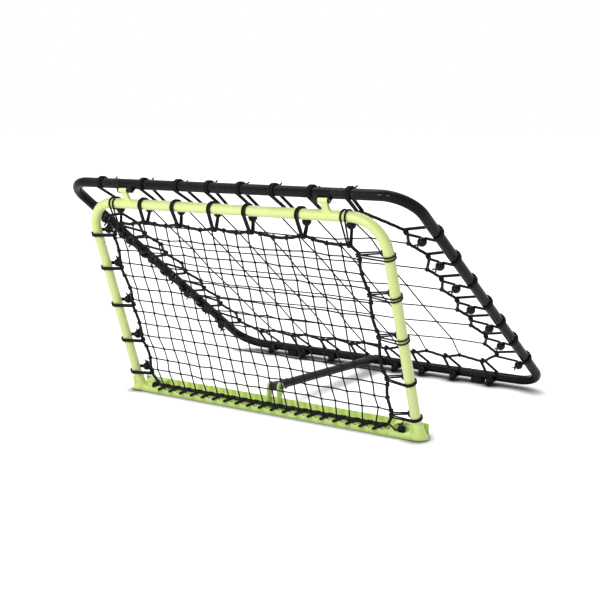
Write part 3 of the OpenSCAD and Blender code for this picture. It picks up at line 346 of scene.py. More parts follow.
# %% Group: fine grain
grain, grain_in, grain_out = new_group(
    "Fine grain", [("Size", 900.0), ("Clouds", 7.0)], ["Height", "Tone"])
ripple = noise_node(grain, grain_in.outputs["Size"], 3.0, 0.55)
pores = noise_node(grain, math_node(grain, "MULTIPLY", grain_in.outputs["Size"], 3.1), 1.0)
height = math_node(grain, "MULTIPLY_ADD", pores, 0.35, ripple)
grain.links.new(height, grain_out.inputs["Height"])
clouds = noise_node(grain, grain_in.outputs["Clouds"], 4.0, 0.6)
grain.links.new(range_node(grain, clouds, 0.3, 0.7), grain_out.inputs["Tone"])

# %% [markdown]
# Dust settles where a surface looks up, and it never settles evenly. The mask is the
# upward share of the surface's direction, broken up by two sizes of noise.

# %% Group: settled dust
dust, dust_in, dust_out = new_group("Settled dust", [("Amount", 0.3)], ["Mask"])
facing = dust.nodes.new("ShaderNodeNewGeometry")
parts_of = dust.nodes.new("ShaderNodeSeparateXYZ")
dust.links.new(facing.outputs["Normal"], parts_of.inputs[0])
upper = range_node(dust, parts_of.outputs["Z"], -0.1, 0.95)
patches = range_node(dust, noise_node(dust, 26.0, 5.0, 0.65), 0.38, 0.72)
specks = range_node(dust, noise_node(dust, 1400.0, 2.0, 0.6), 0.62, 0.78)
settled = math_node(dust, "MULTIPLY_ADD", patches, 0.7, math_node(dust, "MULTIPLY", specks, 0.5))
dust.links.new(
    math_node(dust, "MULTIPLY", math_node(dust, "MULTIPLY", upper, settled),
              dust_in.outputs["Amount"], clamp=True),
    dust_out.inputs["Mask"])

# %% [markdown]
# Wear shows first on corners. The renderer can tell how sharply a surface turns, so the
# mask is that sharpness, eaten into by noise so that it isn't an even line.

# %% Group: worn edges
wear, wear_in, wear_out = new_group("Worn edges", [("Amount", 0.5)], ["Mask"])
bend_of = wear.nodes.new("ShaderNodeNewGeometry")
corner_mask = range_node(wear, bend_of.outputs["Pointiness"], 0.53, 0.62)
bitten = range_node(wear, noise_node(wear, 180.0, 4.0, 0.7), 0.4, 0.65)
wear.links.new(
    math_node(wear, "MULTIPLY", math_node(wear, "MULTIPLY", corner_mask, bitten),
              wear_in.outputs["Amount"], clamp=True),
    wear_out.inputs["Mask"])

# %% [markdown]
# Cordage is either laid or braided. Both patterns come from the UV map of the sweep: a laid twine
# has strands that all wind the same way, and a braid has two sets that cross. Each group gives the
# height of the strands and a mask for painted shade in the gaps between them.

# %% Groups: laid twine and braid
def wound(tree, count, pitch, direction):
    place = tree.nodes.new("ShaderNodeUVMap")
    place.uv_map = "lay"
    split = tree.nodes.new("ShaderNodeSeparateXYZ")
    tree.links.new(place.outputs[0], split.inputs[0])
    along = math_node(tree, "DIVIDE", split.outputs["X"], pitch)
    around = math_node(tree, "MULTIPLY", split.outputs["Y"], count)
    phase = math_node(tree, "MULTIPLY_ADD", along, direction, around)
    return math_node(tree, "ABSOLUTE", math_node(tree, "SINE", math_node(
        tree, "MULTIPLY", phase, math.pi)))


laid, laid_in, laid_out = new_group(
    "Laid twine", [("Strands", 3.0), ("Pitch", 0.008)], ["Height", "Gap"])
strands = wound(laid, laid_in.outputs["Strands"], laid_in.outputs["Pitch"], 1.0)
fibres = noise_node(laid, 2600.0, 2.0, 0.6)
laid.links.new(math_node(laid, "MULTIPLY_ADD", fibres, 0.3, strands), laid_out.inputs["Height"])
laid.links.new(range_node(laid, strands, 0.0, 0.5, 1.0, 0.0), laid_out.inputs["Gap"])

braid, braid_in, braid_out = new_group(
    "Braided sleeve", [("Strands", 8.0), ("Pitch", 0.006)], ["Height", "Gap"])
one_way = wound(braid, braid_in.outputs["Strands"], braid_in.outputs["Pitch"], 1.0)
other_way = wound(braid, braid_in.outputs["Strands"], braid_in.outputs["Pitch"], -1.0)
plait = math_node(braid, "MULTIPLY", one_way, other_way)
fuzz = noise_node(braid, 3000.0, 2.0, 0.6)
braid.links.new(math_node(braid, "MULTIPLY_ADD", fuzz, 0.25, plait), braid_out.inputs["Height"])
braid.links.new(range_node(braid, plait, 0.0, 0.4, 1.0, 0.0), braid_out.inputs["Gap"])

# %% [markdown]
# The base has deep pleats and flutes. Between close walls light passes from one to the other, and
# each pass makes the green deeper and darker. Rendering that in full would be slow, so this mask
# paints that shade into the colour: how closed in a place is, or how far down a flute of the rear
# wall it lies, whichever is more. The flutes repeat evenly along X and start above the floor slab.

# %% Group: painted shade in folds and flutes
FLUTE_PITCH, FLUTE_START = 0.045, 0.455
SLAB_TOP, WALL_FOOT = 0.019, 0.024

folds, folds_in, folds_out = new_group("Painted shade in folds and flutes", [("Depth", 0.018)], ["Mask"])
closed_in = folds.nodes.new("ShaderNodeAmbientOcclusion")
closed_in.samples = 8
folds.links.new(folds_in.outputs["Depth"], closed_in.inputs["Distance"])
place = folds.nodes.new("ShaderNodeTexCoord")
split = folds.nodes.new("ShaderNodeSeparateXYZ")
folds.links.new(place.outputs["Object"], split.inputs[0])
flute_turn = 2 * math.pi / FLUTE_PITCH
along = math_node(folds, "MULTIPLY_ADD", split.outputs["X"], flute_turn, FLUTE_START * flute_turn)
flute = range_node(folds, math_node(folds, "COSINE", along), -1.0, 0.2, 0.42, 0.0)
wall = range_node(folds, split.outputs["Z"], SLAB_TOP, WALL_FOOT)
fold_shade_share = range_node(folds, closed_in.outputs["AO"], 0.25, 0.80, 0.85, 0.0)
# Painted shade: the stronger of the fold mask and the flute mask.
folds.links.new(math_node(folds, "MAXIMUM", math_node(folds, "MULTIPLY", flute, wall), fold_shade_share),
                folds_out.inputs["Mask"])

# %% [markdown]
# ## The finishes
# Every material follows one order, so they are easy to compare. First comes its colour,
# with darker or lighter places. Then come dust or wear, its gloss, and last a bump for what
# is too small to model.

# %% Helpers for materials
def new_material(name):
    material = bpy.data.materials.new(name)
    material.use_nodes = True
    print(f"finish: {name}")
    return material.node_tree, material.node_tree.nodes["Principled BSDF"], material


def use_group(tree, group, **values):
    node = tree.nodes.new("ShaderNodeGroup")
    node.node_tree = group
    for label, value in values.items():
        node.inputs[label].default_value = value
    return node


def blend_colours(tree, share, a, b):
    node = tree.nodes.new("ShaderNodeMix")
    node.data_type = "RGBA"
    plug(tree, share, node.inputs[0])
    for value, socket in ((a, node.inputs[6]), (b, node.inputs[7])):
        plug(tree, value if isinstance(value, bpy.types.NodeSocket) else (*value, 1), socket)
    return node.outputs[2]


def add_bump(tree, shader, height, strength, distance):
    bump = tree.nodes.new("ShaderNodeBump")
    bump.inputs["Strength"].default_value = strength
    bump.inputs["Distance"].default_value = distance
    tree.links.new(height, bump.inputs["Height"])
    tree.links.new(bump.outputs[0], shader.inputs["Normal"])


DUST = (0.55, 0.53, 0.48)

# %% [markdown]
# The front frame has a lime powder coat. Powder melts into a skin with a faint orange peel
# and a soft gloss, a little paler where hands and cords have rubbed it.

# %% Lime powder coat
tree, shader, lime_paint = new_material("lime powder coat")
peel = use_group(tree, grain, Size=420.0, Clouds=5.0)
film = use_group(tree, dust, Amount=0.16)
rub = use_group(tree, wear, Amount=0.5)
colour = blend_colours(tree, peel.outputs["Tone"], (0.69, 0.78, 0.26), (0.74, 0.82, 0.31))
colour = blend_colours(tree, rub.outputs["Mask"], colour, (0.84, 0.88, 0.52))
colour = blend_colours(tree, film.outputs["Mask"], colour, (0.78, 0.80, 0.62))
tree.links.new(colour, shader.inputs["Base Color"])
gloss = range_node(tree, peel.outputs["Tone"], 0, 1, 0.30, 0.42)
tree.links.new(gloss, shader.inputs["Roughness"])
shader.inputs["Coat Weight"].default_value = 0.25
shader.inputs["Coat Roughness"].default_value = 0.18
add_bump(tree, shader, peel.outputs["Height"], 0.22, 0.0002)

# %% [markdown]
# The rear frame and the strut are glossy black. Black hides its colour and shows its
# surface, so most of the work is in the gloss: wiped streaks along the bars, and only a
# trace of dust on top.

# %% Gloss black paint
tree, shader, black_paint = new_material("gloss black paint")
peel = use_group(tree, grain, Size=380.0, Clouds=9.0)
film = use_group(tree, dust, Amount=0.012)
rub = use_group(tree, wear, Amount=0.35)
colour = blend_colours(tree, peel.outputs["Tone"], (0.0035, 0.0035, 0.004), (0.006, 0.006, 0.007))
colour = blend_colours(tree, rub.outputs["Mask"], colour, (0.09, 0.09, 0.095))
colour = blend_colours(tree, film.outputs["Mask"], colour, DUST)
tree.links.new(colour, shader.inputs["Base Color"])
streaks = noise_node(tree, 30.0, 4.0, 0.7, stretch=(0.15, 1.0, 1.0))
tree.links.new(range_node(tree, streaks, 0.35, 0.7, 0.20, 0.36), shader.inputs["Roughness"])
shader.inputs["Specular IOR Level"].default_value = 0.03
shader.inputs["Coat Weight"].default_value = 0.12
shader.inputs["Coat Roughness"].default_value = 0.05
add_bump(tree, shader, peel.outputs["Height"], 0.15, 0.0002)

# %% [markdown]
# The base is injection-moulded plastic in a greener lime. Light gets a little way into it, so thin
# walls glow, and its skin has the fine spark texture of a steel mould. Its folds and flutes get
# painted shade, a deeper green mixed in by the mask made above. The thin edges catch the most
# light, so they get a lighter mix of the same plastic as a painted highlight.

# %% Moulded green plastic
def moulded(name, low, high, shade_green, depth):
    """Green plastic with painted shade in its folds and along its flutes."""
    tree, shader, material = new_material(name)
    spark = use_group(tree, grain, Size=1500.0, Clouds=11.0)
    film = use_group(tree, dust, Amount=0.10)
    rub = use_group(tree, wear, Amount=0.6)
    shade = use_group(tree, folds, Depth=depth)
    colour = blend_colours(tree, spark.outputs["Tone"], low, high)
    colour = blend_colours(tree, rub.outputs["Mask"], colour, (0.76, 0.90, 0.40))
    # Painted shade: a deeper green mixed in by the fold and flute mask.
    colour = blend_colours(tree, shade.outputs["Mask"], colour, shade_green)
    colour = blend_colours(tree, film.outputs["Mask"], colour, (0.70, 0.74, 0.52))
    tree.links.new(colour, shader.inputs["Base Color"])
    gloss = range_node(tree, spark.outputs["Tone"], 0, 1, 0.34, 0.46)
    tree.links.new(gloss, shader.inputs["Roughness"])
    shader.inputs["Subsurface Weight"].default_value = 0.12
    shader.inputs["Subsurface Radius"].default_value = (0.6, 1.0, 0.25)
    shader.inputs["Subsurface Scale"].default_value = 0.003
    add_bump(tree, shader, spark.outputs["Height"], 0.12, 0.0001)
    return material


# The third colour is the painted shade in the folds and flutes.
green_plastic = moulded("moulded green plastic", (0.70, 0.86, 0.24), (0.76, 0.90, 0.31),
                        (0.27, 0.52, 0.05), 0.018)
# A lighter copy of the same plastic, a painted highlight for the thin lip; its third colour is a
# fainter painted fold shade.
highlight_edge_plastic = moulded("thin green plastic edge, painted highlight", (0.78, 0.88, 0.42), (0.84, 0.92, 0.52),
                       (0.62, 0.79, 0.19), 0.004)

# %% [markdown]
# The strut's two end fittings are black nylon, matt and slightly waxy. The feet are rubber,
# duller still. The balls on the cords are a hard plastic with the most gloss of the three.
# One function makes all of them, as they differ only in tone, gloss, grain and dust.

# %% Black nylon, foot rubber and ball plastic
def dark_moulding(name, low, high, gloss, size, dust_amount, bump, shine=0.2):
    tree, shader, material = new_material(name)
    skin = use_group(tree, grain, Size=size, Clouds=14.0)
    film = use_group(tree, dust, Amount=dust_amount)
    rub = use_group(tree, wear, Amount=0.5)
    colour = blend_colours(tree, skin.outputs["Tone"], low, high)
    colour = blend_colours(tree, rub.outputs["Mask"], colour, tuple(5 * v for v in high))
    colour = blend_colours(tree, film.outputs["Mask"], colour, DUST)
    tree.links.new(colour, shader.inputs["Base Color"])
    tree.links.new(range_node(tree, skin.outputs["Tone"], 0, 1, *gloss), shader.inputs["Roughness"])
    shader.inputs["Specular IOR Level"].default_value = shine
    add_bump(tree, shader, skin.outputs["Height"], bump, 0.0002)
    return material


black_nylon = dark_moulding(
    "black nylon", (0.008, 0.008, 0.009), (0.014, 0.014, 0.015), (0.40, 0.55), 1300.0, 0.05, 0.2)
foot_rubber = dark_moulding(
    "foot rubber", (0.006, 0.006, 0.006), (0.010, 0.010, 0.009), (0.70, 0.90), 900.0, 0.03, 0.5,
    shine=0.08)
ball_plastic = dark_moulding(
    "ball plastic", (0.003, 0.003, 0.0035), (0.006, 0.006, 0.007), (0.16, 0.28), 1600.0, 0.008,
    0.15, shine=0.12)

# %% [markdown]
# The button screws of both frames are bright zinc. The bolt, the pins and the strut's own
# screws are blackened. Both are the same steel with fine drawn lines, made by stretching a
# noise along one direction.

# %% Steel
def steel(name, low, high, gloss):
    tree, shader, material = new_material(name)
    lines = noise_node(tree, 900.0, 3.0, 0.6, stretch=(0.12, 1.0, 1.0))
    stain = use_group(tree, grain, Size=700.0, Clouds=60.0)
    rub = use_group(tree, wear, Amount=0.7)
    colour = blend_colours(tree, stain.outputs["Tone"], low, high)
    colour = blend_colours(tree, rub.outputs["Mask"], colour, (0.6, 0.6, 0.6))
    tree.links.new(colour, shader.inputs["Base Color"])
    shader.inputs["Metallic"].default_value = 1.0
    tree.links.new(range_node(tree, lines, 0.3, 0.7, *gloss), shader.inputs["Roughness"])
    add_bump(tree, shader, lines, 0.2, 0.0001)
    return material


zinc_steel = steel("zinc-plated steel", (0.42, 0.42, 0.43), (0.60, 0.60, 0.61), (0.22, 0.42))
black_steel = steel("blackened steel", (0.045, 0.045, 0.05), (0.085, 0.085, 0.09), (0.30, 0.48))

# %% [markdown]
# Net twine is laid, the elastic has a braided sleeve. Both are dyed black, yet the tops of their
# strands catch light and a little grey dust, and that is what makes them read as cord instead of
# wire. The gaps between the strands get painted shade.

# %% Cordage
def cordage(name, group, count, pitch, low, high, bump, depth):
    tree, shader, material = new_material(name)
    lay = use_group(tree, group, Strands=count, Pitch=pitch)
    tint = use_group(tree, grain, Size=600.0, Clouds=30.0)
    film = use_group(tree, dust, Amount=0.02)
    colour = blend_colours(tree, tint.outputs["Tone"], low, high)
    # Painted shade: the gaps between the strands are darkened.
    colour = blend_colours(tree, lay.outputs["Gap"], colour, tuple(0.35 * v for v in low))
    colour = blend_colours(tree, film.outputs["Mask"], colour, (0.30, 0.29, 0.27))
    tree.links.new(colour, shader.inputs["Base Color"])
    gloss = range_node(tree, tint.outputs["Tone"], 0, 1, 0.62, 0.82)
    tree.links.new(gloss, shader.inputs["Roughness"])
    shader.inputs["Specular IOR Level"].default_value = 0.15
    shader.inputs["Sheen Weight"].default_value = 0.02
    shader.inputs["Sheen Roughness"].default_value = 0.5
    add_bump(tree, shader, lay.outputs["Height"], bump, depth)
    return material


net_twine = cordage("net twine", laid, 3.0, 0.009, (0.006, 0.006, 0.007), (0.013, 0.013, 0.014),
                    0.7, 0.0005)
edge_rope = cordage("edge rope", laid, 12.0, 0.012, (0.006, 0.006, 0.007), (0.012, 0.012, 0.013),
                    0.6, 0.0004)
elastic = cordage("elastic", braid, 8.0, 0.0055, (0.006, 0.006, 0.007), (0.014, 0.014, 0.015),
                  0.8, 0.0004)

# %% [markdown]
# ## Finishing the CAD solids
# The tubes, hinges, base and strut already have their true shapes, so nothing is modelled
# here. Each node only trades its plain material for the finish of its slot.

# %% Materials on the CAD nodes
FINISHES = {
    "lime_paint": (lime_paint, [
        "front_leg_left", "front_leg_right", "front_corner_left", "front_corner_right",
        "hinge_lug_left", "hinge_lug_right"]),
    "black_paint": (black_paint, [
        "rear_top_bar", "rear_bottom_bar", "rear_side_left", "rear_side_right",
        "rear_corner_top_left", "rear_corner_top_right", "rear_corner_bottom_left",
        "rear_corner_bottom_right", "hinge_ears_left", "hinge_ears_right",
        "strut_tube", "strut_bracket"]),
    "green_plastic": (green_plastic, ["base_beam"]),
    "black_plastic": (black_nylon, ["strut_jaw", "strut_tongue"]),
    "foot_rubber": (foot_rubber, ["rubber_foot_left", "rubber_foot_right"]),
}
BRIGHT_STEEL = ["front_frame_screws", "sleeve_screws", "rear_frame_screws"]
DARK_STEEL = ["lug_bolt", "lug_nut", "hinge_pin_left", "hinge_pin_right", "strut_pin",
              "strut_bracket_screws", "strut_front_screw", "strut_rear_screw"]


def finish_node(name, material):
    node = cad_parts[name]
    node.data.materials.clear()
    node.data.materials.append(material)


for slot, (material, names) in FINISHES.items():
    for name in names:
        finish_node(name, material)
for name in BRIGHT_STEEL:
    finish_node(name, zinc_steel)
for name in DARK_STEEL:
    finish_node(name, black_steel)
finished = sum(len(names) for _, names in FINISHES.values()) + len(BRIGHT_STEEL + DARK_STEEL)
print("CAD nodes finished:", finished)

# %% [markdown]
# ## How a net fills its edges
# A net is a grid of knots between four edges. The edges are known: they are pulled to each
# hook and sag in between. The knots inside follow them less and less towards the middle.
# So each strand first runs straight between its two ends, and what the edges pull is then
# added. In a fine net that pull dies out after a mesh or two, in a coarse one it carries on.

# %% Blend four edges
def net_between(top, bottom, left, right, firm=(1, 1)):
    """The [x, s] of every knot, between edges that are lists of knots.

    firm: how soon the pull of the side edges and of the top and bottom edges dies out.
    """
    top, bottom, left, right = (np.array(edge, float) for edge in (top, bottom, left, right))
    u = np.linspace(0, 1, len(top))[None, :]
    v = np.linspace(0, 1, len(left))[:, None]
    left_pull = left[:, None, 0] - ((1 - v) * top[0, 0] + v * bottom[0, 0])
    right_pull = right[:, None, 0] - ((1 - v) * top[-1, 0] + v * bottom[-1, 0])
    x = ((1 - v) * top[:, 0] + v * bottom[:, 0]
         + (1 - u) ** firm[0] * left_pull + u ** firm[0] * right_pull)
    top_pull = top[:, 1] - ((1 - u) * top[0, 1] + u * top[-1, 1])
    bottom_pull = bottom[:, 1] - ((1 - u) * bottom[0, 1] + u * bottom[-1, 1])
    s = ((1 - u) * left[:, None, 1] + u * right[:, None, 1]
         + (1 - v) ** firm[1] * top_pull + v ** firm[1] * bottom_pull)
    return np.stack([x, s], axis=2)


def hang_net(grid, plane, wobble, seed):
    """Places of the knots, with the unevenness of a net tied by hand."""
    uneven = np.random.default_rng(seed).normal(0, wobble, (*grid.shape[:2], 3))
    uneven[[0, -1]] = 0
    uneven[:, [0, -1]] = 0
    return np.array([[plane(*(grid[r, c] + uneven[r, c, :2]), uneven[r, c, 2])
                      for c in range(grid.shape[1])] for r in range(grid.shape[0])])


# %% [markdown]
# A knot is a trefoil: one strand that passes over and under itself three times. Drawn that
# small it reads as a tied lump, which is all that a netting knot shows. At the edge each
# strand takes a turn and a bit round the rope.

# %% Knots and turns
def knot(at, size, strand_r, normal, spin):
    u = unit(np.cross(normal, Z_AXIS))
    w = np.cross(normal, u)
    t = np.linspace(0, 2 * np.pi, 18, endpoint=False)
    x = (np.sin(t + spin) + 2 * np.sin(2 * t)) / 3 * size
    y = (np.cos(t + spin) - 2 * np.cos(2 * t)) / 3 * size
    z = -np.sin(3 * t) * size * 0.4
    path = at + x[:, None] * u + y[:, None] * w + z[:, None] * normal
    return sweep(path, strand_r, sides=6, closed=True)


def turns_round(at, axis, ring_r, strand_r, turns=1.35, start=0.0):
    axis = unit(axis)
    u = unit(np.cross(axis, Z_AXIS if abs(axis[2]) < 0.9 else (1, 0, 0)))
    w = np.cross(axis, u)
    t = np.linspace(0, 2 * np.pi * turns, max(8, round(12 * turns)) + 1)
    lift = (t / t[-1] - 0.5) * turns * 2.1 * strand_r
    path = (at + lift[:, None] * axis + ring_r * np.cos(t + start)[:, None] * u
            + ring_r * np.sin(t + start)[:, None] * w)
    return sweep(path, strand_r, sides=6)


def length_of(path):
    return np.linalg.norm(np.diff(np.array(path), axis=0), axis=1).sum()


STEP = 11
ANY_TURN = 6.28


def mesh_parts(places, strand_r, knot_size, rope_r, seed):
    """Strands both ways, a knot on each crossing and a turn round the rope at each end."""
    spins = np.random.default_rng(seed)
    down, across = unit(places[-1, 1] - places[0, 1]), X_DIR
    normal = np.cross(down, across)
    parts = []
    for line in [*places[1:-1], *places.transpose(1, 0, 2)[1:-1]]:
        parts.append(sweep(resample(eased(line, 3 * strand_r), STEP), strand_r, sides=6))
    for row in places[1:-1]:
        for at in row[1:-1]:
            spin = spins.uniform(0, ANY_TURN)
            parts.append(knot(at, knot_size, 0.85 * strand_r, normal, spin))
    ends = [(at, across) for row in places[[0, -1]] for at in row[1:-1]]
    ends += [(at, down) for row in places[1:-1] for at in row[[0, -1]]]
    for at, axis in ends:
        start = spins.uniform(0, ANY_TURN)
        parts.append(turns_round(at, axis, rope_r + 0.9, strand_r, start=start))
    return parts


# %% [markdown]
# ## The fine front net
# Its rope is written down as it lies in the frame's plane: a point where each cord pulls,
# and a few points where it sags in between. At the upper corners the cords pull it across
# the corner. Along the base it is laced straight.

# %% Edges of the front net
FRONT_STRAND_R, FRONT_ROPE_R = 2.15, 4.4
BASE_ROPE_S = 640.324
TOP_ROPE = [
    (-438, 89), (-417, 66), (-370, 67), (-306, 55), (-255, 64), (-228, 65), (-175, 57),
    (-130, 67), (-90, 69), (-45, 61), (0, 68), (40, 71), (86, 61), (130, 70), (175, 76),
    (225, 72), (262, 62), (300, 75), (345, 82), (380, 82), (405, 79), (428, 103)]
RIGHT_ROPE = [
    (428, 103), (430, 108), (426, 135), (426, 165), (434, 200), (443, 224), (437, 260),
    (436, 305), (448, 351), (441, 382), (438, 420), (438, 455), (451, 480), (443, 510),
    (439, 540), (442, 580), (445, 600), (432, 624), (418, BASE_ROPE_S)]
LEFT_ROPE = [
    (-438, 89), (-453, 105), (-450, 150), (-454, 183), (-463, 219), (-452, 260), (-445, 300),
    (-456, 348), (-448, 400), (-449, 440), (-457, 475), (-444, 500), (-442, 533), (-450, 573),
    (-456, 594), (-440, 619), (-434, 636)]
BASE_ROPE = [(-434, 636), (-424, BASE_ROPE_S), (418, BASE_ROPE_S)]
FRONT_COLS, FRONT_ROWS = 20, 13
# First strand and mesh width along the top, along the base, down the left and the right.
TOP_X0, TOP_MESH = -404, 43.35
BASE_X0, BASE_MESH = -412.5, 44.25
LEFT_S0, LEFT_MESH = 76, 42.1
RIGHT_S0, RIGHT_MESH = 80, 42.2


def on_rope_at_x(rope, x):
    return x, np.interp(x, *np.array(rope, float).T)


def on_rope_at_s(rope, s):
    return np.interp(s, *np.array(rope, float).T[::-1]), s


inner_cols, inner_rows = range(1, FRONT_COLS), range(1, FRONT_ROWS)
top_knots = [on_rope_at_x(TOP_ROPE, TOP_X0 + TOP_MESH * (c - 1)) for c in inner_cols]
base_knots = [(BASE_X0 + BASE_MESH * (c - 1), BASE_ROPE_S) for c in inner_cols]
left_knots = [on_rope_at_s(LEFT_ROPE, LEFT_S0 + LEFT_MESH * r) for r in inner_rows]
right_knots = [on_rope_at_s(RIGHT_ROPE, RIGHT_S0 + RIGHT_MESH * r) for r in inner_rows]
front_grid = net_between(
    [TOP_ROPE[0], *top_knots, TOP_ROPE[-1]],
    [BASE_ROPE[0], *base_knots, BASE_ROPE[-1]],
    [LEFT_ROPE[0], *left_knots, LEFT_ROPE[-1]],
    [RIGHT_ROPE[0], *right_knots, RIGHT_ROPE[-1]],
    firm=(7, 16))
front_places = hang_net(front_grid, front_pt, 1.5, seed=7)
print(f"front net: {FRONT_COLS} by {FRONT_ROWS} meshes")

# %% [markdown]
# The net is thin twine and the rope at its edge is twice as thick. A flat sheet with
# holes cut by transparency would be quicker, but its strands would have no roundness and no
# knots. So every strand is swept, and the rope gets three lobes that wind along it.

# %% Strands, knots and edge rope of the front net
add_piece("front_mesh", mesh_parts(front_places, FRONT_STRAND_R, 3.2, FRONT_ROPE_R, seed=11),
          net_twine, "front_frame", ["front_net"])

loop = TOP_ROPE + RIGHT_ROPE[1:] + BASE_ROPE[-2:0:-1] + LEFT_ROPE[:0:-1]
rope_line = resample(eased([front_pt(x, s) for x, s in loop], 7, closed=True), 3.0, closed=True)
print(f"front edge rope: {length_of(rope_line):.0f} mm")
front_rope = sweep(rope_line, FRONT_ROPE_R, sides=15, closed=True, lobes=3, depth=0.09, pitch=30)
add_piece("front_edge_rope", [front_rope], edge_rope, "front_frame",
          ["front_net_rope"])

# %% [markdown]
# ## The coarse rear net
# Here the meshes are three times as wide. The rope is pulled out at every hook, between two
# strands, so that its edge is a row of shallow points. A hook's flat, where the cord holds
# the rope, is a few millimetres long.

# %% Edges of the rear net
REAR_STRAND_R, REAR_ROPE_R = 2.1, 4.3
HELD, HELD_SIDE = 4.0, 3.0
REAR_TOP_HOOKS = [(-433, 112), (-283, 112), (-138, 110), (-44, 98), (68, 104), (189, 112),
                  (305, 104), (415, 88)]
REAR_TOP_KNOTS = [(-487, 110), (-358, 126), (-210, 126), (-91, 122), (12, 120), (128, 124),
                  (247, 126), (365, 116), (475, 135)]
REAR_BASE_HOOKS = [(x, 996) for x in (-457, -315, -190, -65, 73, 179, 298, 433)]
REAR_BASE_KNOTS = [(x, 967) for x in (-478, -386, -246, -120, -5, 135, 240, 361)] + [(474, 956)]
REAR_LEFT_HOOKS = [(-517, s) for s in (170, 305, 430, 552, 672, 786, 920)]
REAR_LEFT_KNOTS = [(-487, s) for s in (237, 367, 491, 612, 729, 853)]
REAR_RIGHT_HOOKS = [(516, 176), (529, 304), (517, 431), (516, 558), (516, 673), (523, 789),
                    (513, 920)]
REAR_RIGHT_KNOTS = [(492, 242), (489, 382), (487, 501), (488, 624), (494, 723), (494, 850)]

rear_grid = net_between(
    REAR_TOP_KNOTS, REAR_BASE_KNOTS,
    [REAR_TOP_KNOTS[0], *REAR_LEFT_KNOTS, REAR_BASE_KNOTS[0]],
    [REAR_TOP_KNOTS[-1], *REAR_RIGHT_KNOTS, REAR_BASE_KNOTS[-1]])
rear_places = hang_net(rear_grid, rear_pt, 2.0, seed=5)


def edge_points(knots, hooks, dx, ds):
    """A rope's points from knot to hook to knot, with each hook's short flat."""
    points = []
    for (x, s), between in zip(hooks, knots):
        points += [between, (x - dx, s - ds), (x + dx, s + ds)]
    return points


print(f"rear net: {len(REAR_TOP_HOOKS)} by {len(REAR_LEFT_HOOKS)} meshes")

# %% [markdown]
# The rear net is made with the same functions as the front one. Only its numbers differ,
# and its rope runs from hook to hook in four rows, down one side and up the other.

# %% Strands, knots and edge rope of the rear net
add_piece("rear_mesh", mesh_parts(rear_places, REAR_STRAND_R, 3.1, REAR_ROPE_R, seed=13),
          net_twine, "rear_frame", ["rear_net"])

loop = edge_points(REAR_TOP_KNOTS, REAR_TOP_HOOKS, HELD, 0)
loop += edge_points([REAR_TOP_KNOTS[-1], *REAR_RIGHT_KNOTS], REAR_RIGHT_HOOKS, 0, HELD_SIDE)
loop += edge_points(REAR_BASE_KNOTS[::-1], REAR_BASE_HOOKS[::-1], -HELD, 0)
loop += edge_points([REAR_BASE_KNOTS[0], *REAR_LEFT_KNOTS[::-1]], REAR_LEFT_HOOKS[::-1], 0, -HELD)
rope_line = resample(eased([rear_pt(x, s) for x, s in loop], 9, closed=True), 3.0, closed=True)
print(f"rear edge rope: {length_of(rope_line):.0f} mm")
rear_rope = sweep(rope_line, REAR_ROPE_R, sides=15, closed=True, lobes=3, depth=0.09, pitch=26)
add_piece("rear_edge_rope", [rear_rope], edge_rope, "rear_frame", ["rear_net_rope"])

# %% [markdown]
# ## Ball cords
# Each cord is a loop of elastic whose ends are knotted in a plastic ball. The loop goes
# round the tube and the rope and comes back to the ball, so it is double along its whole
# way. Its path is worked out flat, across the tube: an arc round the tube, a straight run
# to the rope, an arc round the rope, and a run back to the ball. A drift along the tube is
# then added, because no cord hangs dead square.

# %% Path of a ball cord
BALL_R = 13.2
SNUG = 0.3
SEAT = TUBE_R + BALL_R + SNUG


def arc(centre, r, start, stop, count):
    a = np.radians(np.linspace(start, stop, count))
    return np.stack([centre[0] + r * np.cos(a), centre[1] + r * np.sin(a)], axis=1)


def ball_cord(reach, rope_r, meet, drift, meet_shift, spread, cord_r):
    """Two strands as lists of [to the net, along the tube, off the plane].

    meet: where the strands meet, in the flat path, and meet_shift its place along the tube.
    drift: places along the tube at the start, middle and end of the turn round it.
    spread: half the distance between the strands, at the tube and at the rope.
    """
    meet = np.array(meet, float)
    round_r = TUBE_R + SNUG + cord_r
    hook_r = rope_r + SNUG + cord_r
    lean = math.degrees(math.acos((round_r - hook_r) / reach))
    to_rope = meet - (reach, 0)
    off_tube = math.degrees(math.atan2(meet[1], meet[0])
                            + math.acos(min(1, round_r / np.linalg.norm(meet))))
    off_rope = math.degrees(math.atan2(to_rope[1], to_rope[0])
                            - math.acos(min(1, hook_r / np.linalg.norm(to_rope))))
    on_tube = arc((0, 0), round_r, off_tube, 360 - lean, 22)
    on_rope = arc((reach, 0), hook_r, -lean, off_rope, 10)
    leave = meet + (on_tube[0] - meet) * 0.2
    arrive = meet + (on_rope[-1] - meet) * min(0.3, 8 / np.linalg.norm(on_rope[-1] - meet))
    flat = np.vstack([leave, on_tube, on_rope, arrive])
    a0, a1, a2 = drift
    t = np.linspace(0, 1, len(on_tube))
    bow = a0 * (1 - t) * (1 - 2 * t) + 4 * a1 * t * (1 - t) + a2 * t * (2 * t - 1)
    shift = np.concatenate([[meet_shift], bow, np.zeros(len(on_rope)), [meet_shift]])
    wide = np.concatenate([[spread[1]], np.full(len(on_tube), spread[0]),
                           np.full(len(on_rope), spread[1]), [0.8 * spread[1]]])
    wide[1:4] = np.linspace(spread[1], spread[0], 4)[1:]
    return [np.stack([flat[:, 0], shift + side * wide, flat[:, 1]], axis=1) for side in (-1, 1)]


print(f"a ball's centre sits {SEAT:.1f} mm from its tube's axis")

# %% [markdown]
# The ball itself is turned from a profile, as its mould was: a mouth for the cord with a
# rounded lip, a faint ridge where the two halves of the mould met, and a smaller hole at
# the back where the cut ends stick out.

